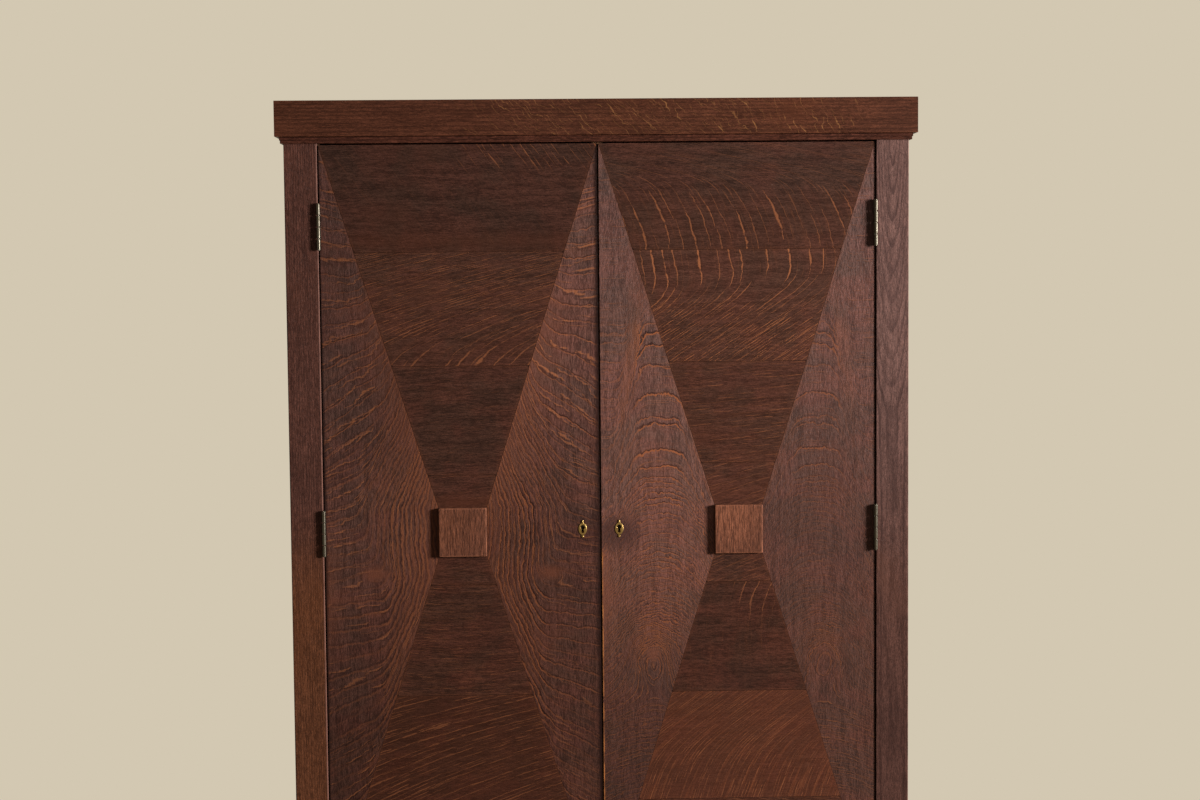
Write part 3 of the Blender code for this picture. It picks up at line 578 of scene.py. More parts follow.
class Sheet:
    """A node tree that is filled by short calls, each of which gives the new node's output."""

    def __init__(self, tree):
        self.tree = tree

    def put(self, value, socket):
        if isinstance(value, bpy.types.NodeSocket):
            self.tree.links.new(value, socket)
        elif socket.type == "RGBA" and len(value) == 3:
            socket.default_value = (*value, 1)
        else:
            socket.default_value = value

    def node(self, kind, settings=None, **inputs):
        """A shader node with its settings, and its inputs filled by name."""
        made = self.tree.nodes.new(f"ShaderNode{kind}")
        for name, value in (settings or {}).items():
            setattr(made, name, value)
        for name, value in inputs.items():
            self.put(value, made.inputs[name.replace("_", " ")])
        return made

    def filled(self, kind, values, **settings):
        """A shader node with its settings, and its first inputs filled in their order."""
        made = self.node(kind, settings)
        for socket, value in zip(made.inputs, values):
            self.put(value, socket)
        return made

    def math(self, operation, first, second=0.0):
        return self.filled("Math", (first, second), operation=operation).outputs[0]

    def add(self, first, second):
        return self.math("ADD", first, second)

    def take(self, first, second):
        return self.math("SUBTRACT", first, second)

    def over(self, first, second):
        return self.math("DIVIDE", first, second)

    def most(self, first, second):
        return self.math("MAXIMUM", first, second)

    def size(self, value):
        return self.math("ABSOLUTE", value)

    def times(self, first, *others):
        for other in others:
            first = self.math("MULTIPLY", first, other)
        return first

    def span(self, value, low, high, to_low=0.0, to_high=1.0, soft=True):
        """Value carried smoothly from the span low..high to the span to_low..to_high."""
        values = (value, low, high, to_low, to_high)
        kind = "SMOOTHSTEP" if soft else "LINEAR"
        return self.filled("MapRange", values, interpolation_type=kind).outputs[0]

    def stretch(self, vector, scale, shift=(0, 0, 0)):
        return self.filled("VectorMath", (vector, scale, shift), operation="MULTIPLY_ADD").outputs[0]

    def noise(self, vector, scale, detail=2.0, roughness=0.5, shift=(0, 0, 0)):
        """Noise whose features are one unit across after the vector is stretched by scale."""
        place = self.stretch(vector, scale, shift)
        return self.node("TexNoise", Vector=place, Scale=1.0, Detail=detail, Roughness=roughness).outputs["Fac"]

    def draw(self, dimensions, *numbers):
        """Random numbers that stay the same while the given numbers do."""
        settings = {"noise_dimensions": dimensions}
        return self.node("TexWhiteNoise", settings, Vector=self.join(*numbers)).outputs

    def mix(self, first, second, share, blend="MIX"):
        made = self.node("Mix", {"data_type": "RGBA", "blend_type": blend})
        for index, value in ((0, share), (6, first), (7, second)):
            self.put(value, made.inputs[index])
        return made.outputs[2]

    def split(self, vector):
        return self.filled("SeparateXYZ", (vector,)).outputs

    def join(self, x, y, z):
        return self.filled("CombineXYZ", (x, y, z)).outputs[0]

    def value_of(self, name):
        return self.node("Attribute", {"attribute_name": name}).outputs["Fac"]

    def place(self):
        return self.node("TexCoord").outputs["Object"]

    def uv(self, name):
        return self.node("UVMap", {"uv_map": name}).outputs[0]

    def away_from(self, vector, point):
        """Distance of the vector from a point."""
        return self.filled("VectorMath", (vector, point), operation="DISTANCE").outputs["Value"]

    def nudged(self, vector, scale, amount):
        """The vector pushed about by up to half the amount, in waves of 1/scale."""
        wave = self.node("TexNoise", Vector=vector, Scale=scale).outputs["Color"]
        back = self.stretch(vector, (1, 1, 1), (-amount / 2,) * 3)
        return self.filled("VectorMath", (wave, (amount,) * 3, back), operation="MULTIPLY_ADD").outputs[0]

    def group(self, name, **inputs):
        return self.node("Group", {"node_tree": pattern(name)}, **inputs).outputs


class Coat:
    """A colour laid up in layers over a base."""

    def __init__(self, sheet, base, colour):
        self.sheet, self.base, self.colour = sheet, base, colour

    def lay(self, layer, share):
        """Covers a share of the coat with a colour."""
        self.colour = self.sheet.mix(self.colour, layer, share)

    def tone(self, factor, share):
        """Covers a share of the coat with the base times a factor."""
        self.lay(tint(self.base, factor), share)

    def wash(self, colour, share=1.0):
        """Multiplies a share of the coat by a colour."""
        self.colour = self.sheet.mix(self.colour, colour, share, "MULTIPLY")


def new_group(name, vector, numbers, outputs):
    """A node group that takes a vector and some numbers: its sheet, and its sockets inside."""
    tree = bpy.data.node_groups.new(name, "ShaderNodeTree")
    tree.interface.new_socket(vector, in_out="INPUT", socket_type="NodeSocketVector")
    for way, labels in (("INPUT", numbers), ("OUTPUT", outputs)):
        for label in labels:
            tree.interface.new_socket(label, in_out=way, socket_type="NodeSocketFloat")
    return Sheet(tree), tree.nodes.new("NodeGroupInput").outputs, tree.nodes.new("NodeGroupOutput").inputs


def fleck_group():
    """Tapered strokes along the figure, each with a painted shade line beside it. The figure's second
    number is cut into lanes, each lane into lengths, and each length holds one stroke or none, of its
    own place, width and strength."""
    numbers = ("Lane", "Length", "Share", "Width", "Wave", "Stagger", "Seed")
    s, given, result = new_group("Ray flecks", "Figure", numbers, ("Light", "Dark"))
    along, across, _ = s.split(given["Figure"])
    seeded = s.join(along, across, given["Seed"])
    sway = s.take(s.noise(seeded, (20, 55, 1), 2), 0.5)
    ripple = s.take(s.noise(seeded, (150, 70, 1), 1), 0.5)
    moved = s.add(across, s.times(given["Wave"], s.add(sway, s.times(ripple, 0.30))))
    lanes = s.over(moved, given["Lane"])
    lane = s.math("FLOOR", lanes)
    offset = s.times(s.draw("2D", lane, given["Seed"], 0.0)["Value"], given["Stagger"])
    lengths = s.add(s.over(along, given["Length"]), offset)
    length = s.math("FLOOR", lengths)
    passed = s.take(lengths, length)
    place, size, luck = s.split(s.draw("3D", lane, length, given["Seed"])["Color"])
    taper = s.math("POWER", s.times(passed, s.take(1.0, passed), 4.0), 0.5)
    uneven = s.span(s.noise(seeded, (95, 40, 1), 2, 0.6, (3, 0, 0)), 0.30, 0.70, 0.35, 1.25, soft=False)
    share = s.times(s.over(given["Width"], given["Lane"]), s.add(0.3, s.times(size, 0.9)))
    half = s.times(share, taper, uneven)
    centre = s.add(0.3, s.times(place, 0.4))
    bright = s.times(s.add(0.40, s.times(size, 0.60)), s.span(uneven, 0.35, 0.8, 0.25, 1.0))
    strength = s.times(s.math("LESS_THAN", luck, given["Share"]), bright)
    for label, beside in (("Light", 0.0), ("Dark", 1.5)):
        apart = s.size(s.take(s.take(lanes, lane), s.add(centre, s.times(half, beside))))
        s.put(s.times(s.span(apart, half, s.times(half, 0.25)), strength), result[label])
    return s.tree


def ring_group():
    """Growth lines across a flat-sawn face. Ring counts the lines and pitch is their distance
    apart; each line is pale with painted shade along one side, and has its own strength, which comes and goes."""
    numbers = ("Ring", "Pitch", "Width", "Jag", "Seed")
    s, given, result = new_group("Growth lines", "Place", numbers, ("Light", "Dark"))
    place, width = given["Place"], given["Width"]
    slow = s.take(s.noise(place, (35, 35, 22), 2), 0.5)
    quick = s.take(s.noise(place, (170, 170, 110), 2), 0.5)
    shift = s.times(given["Jag"], s.add(s.times(slow, 0.010), s.times(quick, 0.0045)))
    count = s.add(given["Ring"], s.over(shift, given["Pitch"]))
    number = s.math("FLOOR", count)
    apart = s.times(s.take(s.take(count, number), 0.5), given["Pitch"])
    lasting = s.span(s.noise(place, (60, 60, 45), 2, 0.6, (5, 0, 5)), 0.28, 0.50, 0.30, 1.0)
    luck = s.draw("2D", number, given["Seed"], 0.0)["Value"]
    strength = s.times(s.add(0.35, s.times(luck, 0.75)), lasting)
    pale = s.span(s.size(apart), s.times(width, 0.0016), s.times(width, 0.0005))
    beside = s.size(s.add(apart, s.times(width, 0.0022)))
    dark = s.span(beside, s.times(width, 0.0017), s.times(width, 0.0005))
    s.put(s.times(pale, strength), result["Light"])
    s.put(s.times(dark, strength), result["Dark"])
    return s.tree


def grain_group():
    """Oak grain along the vector's first number: broad streaks, dashes of open pores, fine pores and grit."""
    s, given, result = new_group("Oak grain", "Grain", (), ("Streaks", "Dashes", "Pores", "Grit"))
    vector = given["Grain"]
    sway = s.times(s.take(s.noise(vector, (3, 8, 3), 1), 0.5), 0.012)
    along, across, through = s.split(vector)
    moved = s.join(along, s.add(across, sway), s.add(through, sway))
    s.put(s.noise(moved, (10, 105, 105), 3, 0.6), result["Streaks"])
    s.put(s.noise(moved, (78, 430, 430), 2, 0.62), result["Dashes"])
    s.put(s.span(s.noise(moved, (130, 900, 900), 1, 0.5), 0.54, 0.68), result["Pores"])
    s.put(s.noise(vector, (300, 420, 420), 2, 0.60, (7, 0, 3)), result["Grit"])
    return s.tree


def speck_group():
    """Small pale knocks and fine scratches scattered over a surface."""
    s, given, result = new_group("Specks", "Place", (), ("Specks", "Scratches"))
    cells = s.node("TexVoronoi", Vector=given["Place"], Scale=24.0).outputs
    luck, size, _ = s.split(cells["Color"])
    radius = s.span(size, 0.0, 1.0, 0.012, 0.035, soft=False)
    dot = s.times(s.span(cells["Distance"], radius, 0.0), s.math("LESS_THAN", luck, 0.22))
    s.put(dot, result["Specks"])
    leaning = s.node("Mapping", Vector=given["Place"], Rotation=(0.3, 0.9, 0.2), Scale=(7.0, 60.0, 60.0))
    lines = s.node("TexVoronoi", Vector=leaning.outputs[0], Scale=1.0).outputs
    few = s.math("LESS_THAN", s.split(lines["Color"])[0], 0.02)
    s.put(s.times(s.span(lines["Distance"], 0.05, 0.0), few), result["Scratches"])
    return s.tree


@functools.lru_cache
def pattern(name):
    """A node group that the woods share, made when it is first asked for."""
    return {"flecks": fleck_group, "rings": ring_group, "grain": grain_group, "specks": speck_group}[name]()


def new_material(name, metallic=0.0, **sockets):
    """A material's shader and the sheet to fill it."""
    material = bpy.data.materials.new(name)
    material.use_nodes = True
    shader = material.node_tree.nodes["Principled BSDF"]
    shader.inputs["Metallic"].default_value = metallic
    for label, value in sockets.items():
        shader.inputs[label.replace("_", " ")].default_value = value
    return material, Sheet(material.node_tree), shader


def raise_surface(s, shader, height, distance):
    """Bump from a height that runs from 0 to 1 over a distance in metres."""
    bump = s.node("Bump", Height=height, Strength=1.0, Distance=distance)
    s.put(bump.outputs["Normal"], shader.inputs["Normal"])


def tint(colour, factor):
    return tuple(min(1.0, c * f) for c, f in zip(colour, factor))


def streaked_coat(s, base, wood, dark, pale, streaks, plain):
    """A coat of dark and pale streaks along the grain, with a share of plain base over them."""
    coat = Coat(s, base, s.mix(tint(base, dark), tint(base, pale), s.span(wood["Streaks"], *streaks)))
    coat.lay(tuple(base), plain)
    return coat


def speckle(coat, wood, dark, pale):
    """Breaks the coat up by short dark and pale dashes, open pores and grit."""
    s = coat.sheet
    coat.tone((0.34, 0.32, 0.34), s.times(s.span(wood["Dashes"], 0.50, 0.39), dark))
    coat.tone((1.95, 1.85, 1.85), s.times(s.span(wood["Dashes"], 0.51, 0.62), pale))
    coat.tone((0.40, 0.38, 0.38), s.times(wood["Pores"], 0.40))
    grit = s.span(wood["Grit"], 0.34, 0.66, 0.78, 1.24, soft=False)
    coat.wash(s.join(grit, grit, grit))


def finish_wood(s, shader, coat, wood, cloud, rough, pores, height, streaks, distance):
    """Puts the coat on the shader, duller where it is cloudy or porous, with its height as bump."""
    s.put(coat.colour, shader.inputs["Base Color"])
    dull = s.add(s.span(cloud, 0.3, 0.7, *rough), s.times(wood["Pores"], pores))
    s.put(dull, shader.inputs["Roughness"])
    raise_surface(s, shader, s.add(height, s.times(wood["Streaks"], streaks)), distance)


def veneer_material(name, base, fleck, layers, seed, light=False, sheen=0.05, jag=1.0, pale=1.0):
    """Waxed oak veneer: streaks and pores along the grain, strokes and contours along the figure.

    layers holds (strength's name, lane, length, share, width, wave) for each set of strokes. Jag is
    how far growth lines waver, and pale is how strongly their bright side shows.
    """
    look = LIGHT_LOOK if light else DARK_LOOK
    material, s, shader = new_material(name, Specular_IOR_Level=sheen)
    place, figure = s.place(), s.uv("figure")
    wood = s.group("grain", Grain=s.stretch(s.uv("grain"), (1, 1, 1), (seed * 3.1, seed * 1.7, seed)))
    coat = streaked_coat(s, base, wood, (0.60, 0.58, 0.58), (1.50, 1.46, 1.46), (0.30, 0.70), 0.30)
    speckle(coat, wood, look["dark_dashes"], look["pale_dashes"])
    patch = s.noise(place, (14, 14, 18), 2, 0.6, (0, seed, 0))
    coat.wash(s.mix((0.88, 0.94, 0.90), (1.14, 1.03, 0.97), s.span(patch, 0.36, 0.64)))
    # Painted sheen: greyer towards the top, browner towards the foot
    coat.wash(s.mix(FOOT_HUE, PAINTED_SHEEN_HUE, s.span(s.split(place)[2], *SHEEN_HEIGHTS, soft=False)))
    flow = s.noise(s.stretch(figure, (1, 1, 1), (0, 0, seed)), (9, 110, 1), 3, 0.65)
    contour = s.times(s.value_of("arch"), look["contour"])
    coat.lay(tint(fleck, (0.90, 0.72, 0.64)), s.times(s.span(flow, 0.50, 0.75), s.times(contour, 0.60)))
    crease = s.span(s.size(s.take(flow, 0.5)), 0.045, 0.0)
    coat.tone((0.42, 0.34, 0.30), s.times(crease, s.times(contour, 0.7)))
    height = s.take(s.times(wood["Dashes"], 0.8), s.times(wood["Pores"], 0.6))
    if light:
        ring, pitch, width, shown = (s.value_of(f"ring_{part}") for part in ("count", "pitch", "width", "weight"))
        line = s.group("rings", Place=place, Ring=ring, Pitch=pitch, Width=width, Jag=jag, Seed=seed)
        # Painted shade along one side of each growth line
        coat.tone((0.30, 0.24, 0.24), s.times(line["Dark"], shown))
        coat.lay(tint(fleck, (0.95, 0.86, 0.80)), s.times(line["Light"], s.times(shown, pale)))
    for number, (strength, *shape) in enumerate(layers):
        settings = dict(zip(("Lane", "Length", "Share", "Width", "Wave"), shape))
        settings["Stagger"] = s.value_of("stagger") if number == 0 else SCATTERED
        strokes = s.group("flecks", Figure=figure, Seed=seed + number * 7.3, **settings)
        shown = s.times(strokes["Light"], s.value_of(strength))
        # Painted shade beside each stroke
        shaded = s.times(strokes["Dark"], s.times(s.value_of(strength), look["stroke_shade"]))
        coat.tone((0.34, 0.29, 0.28), shaded)
        coat.lay(tuple(fleck), shown)
        height = s.add(height, s.times(shown, 0.4))
    cloud = s.noise(place, (3.5, 3.5, 5.0), 3, 0.55, (seed, 0, seed))
    coat.tone((0.50, 0.49, 0.52), s.span(cloud, 0.52, 0.80, 0.0, 0.40))
    coat.tone((1.5, 1.30, 1.12), s.span(cloud, 0.46, 0.25, 0.0, 0.35))
    coat.tone((1.75, 1.32, 0.95), s.times(s.value_of("amber"), 0.8))
    coat.wash(s.value_of("tone"))
    wear_veneer(coat, place, fleck, look)
    wavy = s.times(s.noise(place, (14, 14, 22), 2), 1.2)
    finish_wood(s, shader, coat, wood, cloud, (0.44, 0.56), 0.12, s.add(height, wavy), 0.5, 0.00028)
    return material


def wear_veneer(coat, place, fleck, look):
    """Painted highlights along the joints with a dark line in them, painted shade along the door edges and beside the
    blocks, a painted highlight on the right door's lower meeting edge, soiled keyholes and knocks.
    """
    s = coat.sheet
    patchy = s.noise(place, (40, 40, 40), 2)
    edge = s.value_of("edge")
    # Painted highlight along the joints, patchy
    rubbed = s.times(s.span(edge, 0.0060, 0.0012), s.span(patchy, 0.25, 0.65, 0.35, 1.0))
    coat.lay(tint(fleck, (0.80, 0.72, 0.66)), s.times(rubbed, look["joint_highlight"]))
    coat.tone((0.25, 0.22, 0.20), s.times(s.span(edge, 0.0008, 0.0001), 0.8))
    # Painted shade along the door edges and beside the blocks
    coat.tone((0.11, 0.09, 0.09), s.value_of("grime"))
    # Painted highlight along the lower part of the right door's meeting edge
    rim = s.times(s.span(s.value_of("rim"), 0.0030, 0.0006), s.span(patchy, 0.3, 0.6))
    coat.lay(tint(fleck, (1.15, 1.15, 0.80)), rim)
    moved = s.nudged(place, 28.0, 0.03)
    for side, darkness in KEYHOLE_SOIL.items():
        near = s.away_from(moved, (SIDES[side] * KEYHOLE_X, VENEER_FRONT_Y, KEYHOLE_Z - SOIL_DROP))
        coat.tone((0.30, 0.27, 0.28), s.span(near, *SOIL_RADII, 0.0, darkness))
    marks = s.group("specks", Place=place)
    coat.lay(KNOCK_COLOUR, s.times(marks["Specks"], 0.65))
    coat.lay(SCRATCH_COLOUR, s.times(marks["Scratches"], 0.5))


def oak_rings(s, vector, heart, seed, rise, rings, late_span):
    """Share of dark late wood. Rings lie at equal distances from a heart line along the grain:
    ring = distance from the heart x rings a metre, swayed by noise. rise, (from, to, tilt), moves
    the heart away between two places along the grain, which draws nested arches on a face."""
    along, p, q = s.split(vector)
    sway = s.take(s.noise(vector, (2.2, 12, 12), 2, 0.5, (seed, 0, 0)), 0.5)
    wobble = s.take(s.noise(vector, (30, 60, 60), 2, 0.5, (0, 0, seed)), 0.5)
    lift = s.span(along, *rise[:2], 0.0, rise[2], soft=False) if rise else 0.0
    across = s.take(p, heart[0])
    deep = s.add(s.take(q, heart[1]), lift)
    far = s.math("SQRT", s.add(s.times(across, across), s.times(deep, deep)))
    part = s.math("FRACT", s.times(s.add(far, s.add(s.times(sway, 0.007), s.times(wobble, 0.0016))), rings))
    late = s.times(s.span(part, *late_span), s.span(part, 1.0, 0.94))
    return s.times(late, s.span(s.noise(vector, (5, 40, 40), 2, 0.5, (0, seed, 0)), 0.3, 0.7, 0.45, 1.0))


def lay_oak_flecks(coat, place, flecks, seed, height):
    """Sets of leaning strokes, each within its own reach along x; gives the height with them on it."""
    s = coat.sheet
    for number, (*shape, strength, slope, reach) in enumerate(flecks):
        settings = dict(zip(("Lane", "Length", "Share", "Width", "Wave"), shape))
        bent_x, _, bent_z = s.split(s.nudged(place, 42.0, 0.020))
        leaning = s.join(s.take(bent_x, s.times(bent_z, slope)), s.add(s.times(bent_x, slope), bent_z), 0.0)
        strokes = s.group("flecks", Figure=leaning, Stagger=SCATTERED, Seed=seed + number * 5.1, **settings)
        patches = s.span(s.noise(place, (9, 9, 24), 1, 0.5, (seed, number, 0)), 0.34, 0.56, 0.25, 1.0)
        x = s.split(place)[0]
        spread = s.times(s.span(x, *reach[:2]), s.span(x, *reach[2:]))
        shown = s.times(s.times(strokes["Light"], spread), s.times(patches, strength))
        coat.lay(FRAME_FLECK_COLOUR, shown)
        height = s.add(height, s.times(shown, 0.3))
    return height


def wear_oak(coat, place, wear_and_highlight, dry):
    """A painted highlight between two places along x, pale worn arrises, and knocks."""
    s = coat.sheet
    patchy = s.noise(place, (35, 35, 35), 2)
    # Painted highlight between the two places along x
    if wear_and_highlight:
        through = s.span(s.split(place)[0], *wear_and_highlight)
        coat.tone((1.75, 2.1, 2.3), s.times(through, s.span(patchy, 0.25, 0.55, 0.4, 0.9)))
    rub = s.times(s.span(s.value_of("arris"), 0.15, 0.9), s.span(patchy, 0.34, 0.62))
    coat.tone((2.3, 2.3, 2.2), s.times(rub, 0.55))
    coat.lay(KNOCK_COLOUR, s.times(s.group("specks", Place=place)["Specks"], 0.0 if dry else 0.5))


def oak_material(
    name,
    base,
    axis,
    heart,
    seed,
    rise=None,
    rings=300,
    contrast=1.0,
    flecks=(),
    dry=False,
    fall=None,
    coarse=1.0,
    late_span=(0.55, 0.88),
    inside=None,
    wear_and_highlight=None,
    stretch=(1, 1, 1),
    lit=None,
):
    """Oak board with its grain along an axis. For heart, rise, rings and late_span see oak_rings.
    fall, (from, to, colour), washes the board between two heights, and lit, (point, radius, colour),
    round a point. inside, (axis, limit, over, colour), is where the board turns dry and bare, and
    worn, (from, to), is where a pale painted highlight lies between two places along x."""
    material, s, shader = new_material(name, Specular_IOR_Level=0.05)
    place = s.place()
    x, y, z = s.split(place)
    vector = s.join(*{"X": (x, y, z), "Y": (y, x, z), "Z": (z, x, y)}[axis])
    wood = s.group("grain", Grain=s.stretch(vector, stretch, (seed, seed * 2.3, seed * 1.1)))
    coat = streaked_coat(s, base, wood, (0.60, 0.57, 0.57), (1.46, 1.43, 1.43), (0.28, 0.72), 0.35)
    speckle(coat, wood, 0.70 * coarse, 0.55 * coarse)
    coat.tone((0.38, 0.36, 0.38), s.times(oak_rings(s, vector, heart, seed, rise, rings, late_span), contrast))
    height = s.take(s.times(wood["Dashes"], 0.8), s.times(wood["Pores"], 0.7))
    height = lay_oak_flecks(coat, place, flecks, seed, height)
    cloud = s.noise(place, (4, 4, 4), 3, 0.55, (seed, 0, seed))
    stain = s.noise(vector, (9, 55, 55), 2, 0.55, (seed * 2, 0, 0))
    coat.tone((0.45, 0.43, 0.46), s.span(cloud, 0.52, 0.78, 0.0, 0.45))
    coat.tone((0.42, 0.40, 0.42), s.span(stain, 0.56, 0.74, 0.0, 0.45))
    coat.tone((1.45, 1.28, 1.08), s.span(cloud, 0.46, 0.25, 0.0, 0.35))
    if fall:
        coat.wash(fall[2], s.span(z, *fall[:2]))
    if lit:
        away = s.away_from(s.nudged(place, 40.0, 0.02), lit[0])
        coat.wash(lit[2], s.span(away, lit[1], 0.0))
    wear_oak(coat, place, wear_and_highlight, dry)
    if inside:
        source, limit, over, bare = inside
        reached = {"X": s.size(x), "Y": y, "Z": z}[source]
        dusty = s.mix(tint(bare, (0.8, 0.8, 0.8)), tint(bare, (1.1, 1.1, 1.1)), wood["Streaks"])
        coat.lay(dusty, s.times(s.span(reached, limit, limit + over), s.span(y, *BEHIND_DOORS)))
    height = s.add(height, s.noise(place, (16, 16, 16), 2))
    rough = (0.62, 0.74) if dry else (0.42, 0.55)
    finish_wood(s, shader, coat, wood, cloud, rough, 0.1, height, 0.6, 0.00025)
    return material


def metal_material(name, base, tarnish, roughness, grime=0.5):
    """Aged metal: a bright body, darker tarnish in clouds, fine rubbed lines and tiny pits."""
    material, s, shader = new_material(name, metallic=1.0)
    place = s.place()
    cloud = s.noise(place, (160, 160, 110), 3, 0.6)
    fine = s.noise(place, (900, 900, 260), 2, 0.6)
    coat = Coat(s, base, s.mix(base, tarnish, s.span(cloud, 0.48, 0.75, 0.0, grime)))
    coat.tone((0.6, 0.58, 0.5), s.span(fine, 0.55, 0.75, 0.0, 0.35))
    s.put(coat.colour, shader.inputs["Base Color"])
    dull = s.add(s.span(cloud, 0.35, 0.75, roughness, roughness + 0.1), s.times(fine, 0.08))
    s.put(dull, shader.inputs["Roughness"])
    raise_surface(s, shader, s.add(fine, s.times(cloud, 0.6)), 0.00001)
    return material


# Figure of the veneers. A figure is a pair of numbers (u, v): strokes run along lines of equal v.


def rising(x, start, length, least=0):
    """0 before the start and 1 past start + length, straight between them, and never below least."""
    return np.clip((x - start) / length, least, 1)


def falling(x, end, length, least=0):
    """1 before end - length and 0 past the end, straight between them, and never below least."""
    return np.clip((end - x) / length, least, 1)


def peak(x, centre, size):
    """A rounded peak: exp(-((x - centre) / size)^2)."""
    return np.exp(-(((x - centre) / size) ** 2))


def swell(q, depth, centre, size, height=1.0):
    """A rounded hill: height x exp(-(q / size)^2 - (depth / size)^2) round its centre."""
    return height * np.exp(-(((q - centre[0]) / size[0]) ** 2) - ((depth - centre[1]) / size[1]) ** 2)


def softplus(x, width):
    """Zero well below x = 0 and x well above, turning over the width."""
    return width * np.logaddexp(0, x / width)


def running_total(marks, slopes, depth):
    """The integral from 0 to depth of a slope given at some marks and straight between them."""
    steps, step = np.linspace(0, 1.5, 601, retstep=True)
    slope = np.interp(steps, marks, slopes)
    total = np.concatenate([[0], np.cumsum((slope[1:] + slope[:-1]) / 2) * step])
    return np.interp(depth, steps, total)


def figure_falling(a, depth, steep, turn):
    """Strokes that start nearly level and turn down: v = a - steep x (depth - softplus(depth - turn))."""
    return depth, a - steep * (depth - softplus(depth - turn, 0.02))


def figure_bent(a, depth):
    """Strokes that start upright and bend down and inwards: v = a - (0.2 D - 2.1 softplus(D - 75 mm))."""
    bent = depth + 0.11 * a
    return bent, a - 0.2 * bent + 2.1 * softplus(bent - 0.075, 0.014)


def figure_sloped(a, depth, slope, gain):
    """Strokes that rise across the door: v = depth + a x (slope + gain x depth)."""
    return a, depth + a * (slope + gain * depth)


def figure_turning(a, depth):
    """Strokes that rise at 35 degrees and stand up below: v = a + 0.33 D + 1.1 x (D - softplus(D - 115 mm))."""
    return depth, a + 0.33 * depth + 1.1 * (depth - softplus(depth - 0.115, 0.02))


def scaled(figure, along, across):
    """A figure drawn out along its strokes and across them."""
    return along * figure[0], across * figure[1]


def right_leaf(number, a, depth):
    """Figure and strengths of a leaf of the right door; see leaf_figure."""
    if number == 0:
        bend = running_total((0, 0.05, 0.075, 0.095, 0.15, 0.2), (5.0, 4.0, 1.5, 0.6, 0.4, 0.15), depth)
        low = rising(depth, 0.080, 0.03)
        return (depth * 0.9 + 0.01, 0.55 * (a - bend)), 0.08 + 1.00 * low, 0.40 - 0.25 * low, 0.40, 0.15 * low
    if number == 1:
        u, v = figure_bent(a, depth)
        low = rising(depth, 0.085, 0.04)
        u = 0.72 * u + 1.1 * softplus(depth - 0.09, 0.01)
        return (u + 0.004, 0.62 * v), 1.15 - 0.55 * low, 0.15 + 0.95 * low, 0.30, 0.12
    if number == 2:
        return scaled(figure_sloped(a, depth, 0.06, 0.3), 0.8, 1), 0.12, 0.45 + 1.4 * np.clip(a, 0, 0.3), 0.35, 0.10
    if number == 3:
        return figure_sloped(a, depth, 0.28, 0.6), 0.12, 0.45, 0.40, 0.25 * peak(depth, 0.055, 0.03)
    if number == 4:
        bold = 0.8 * peak(depth, 0, 0.06) * rising(a, -0.02, 0.03) * falling(a, 0.08, 0.02)
        return scaled(figure_falling(a, depth, -0.45, 0.05), 0.8, 0.6), 1.4 * bold, 0.06, 0.25, 0
    if number == 5:
        return figure_turning(a, depth), 0.35, 0.95, 2.20, 0.50
    return figure_sloped(a, depth, -0.2, 0.5), 0.25, 0.4, 0.3, 0


def left_leaf(number, a, depth):
    """Figure and strengths of a leaf of the left door; see leaf_figure."""
    if number == 0:
        shown = falling(depth, 0.055, 0.02) * rising(a, -0.01, 0.04)
        return figure_falling(a, depth, 0.75, 0.2), 0.75 * shown, 0.12, 0.25, 0.40 * peak(depth, 0.186, 0.020)
    if number == 1:
        bold = 0.30 + 5.0 * np.clip(depth - 0.12, 0, 0.14)
        bend = running_total((0, 0.12, 0.17, 0.20, 0.22), (-4.4, -3.0, -2.0, -1.1, -0.9), depth)
        return (0.6 * (a - depth), 0.42 * (a - bend)), bold, 0.85 - 0.5 * rising(depth, 0.15, 0.04), 0.40, 0.08
    if number == 2:
        return figure_sloped(a, depth, 0.15, 0.0), 0, 0.15, 0.2, 0
    if number == 3:
        return figure_sloped(a, depth, 0.10, 0.4), 0, 0.2, 0.25, 0.5 * peak(depth, 0.054, 0.012)
    if number == 4:
        return (a, depth + 0.6 * a * a), 0.08, 0.42, 0.35, 0
    if number == 5:
        return scaled(figure_sloped(a, depth, 0.22, 0.9), 0.65, 0.9), 0.75, 0.90, 0.5, 0.30
    return figure_sloped(a, depth, -0.15, 0.6), 0.10, 0.3, 0.3, 0


def leaf_figure(side, number, a, depth):
    """Figure and strengths of one hourglass leaf, counted from the top; a is measured from the
    door's middle and depth from the leaf's top. The strengths are those of bold strokes, fine
    strokes, wavy bands and amber tone."""
    return (right_leaf if side == "right" else left_leaf)(number, a, depth)


def right_field_figure(q, depth):
    """Arches one below another: v = depth - 32 mm x (|q - 153 mm| / width) ^ power, levelling off,
    and a hill whose rings make the eye near the foot. The arches grow wider and rounder with depth."""
    width = ARCH_HALF_WIDTH + 0.028 * rising(depth, 0.33, 0.4)
    power = np.interp(depth, (0.55, 0.75), (5.0, 2.4))
    arch = 0.20 * np.tanh(0.032 * (np.abs(q - ARCH_MIDDLE) / width) ** power / 0.20)
    v = depth - arch * falling(depth, 1.25, 0.4, 0.25)
    return v + swell(q, depth, (EYE_PLACE[0], 0.995), (0.045, 0.060), 0.105)


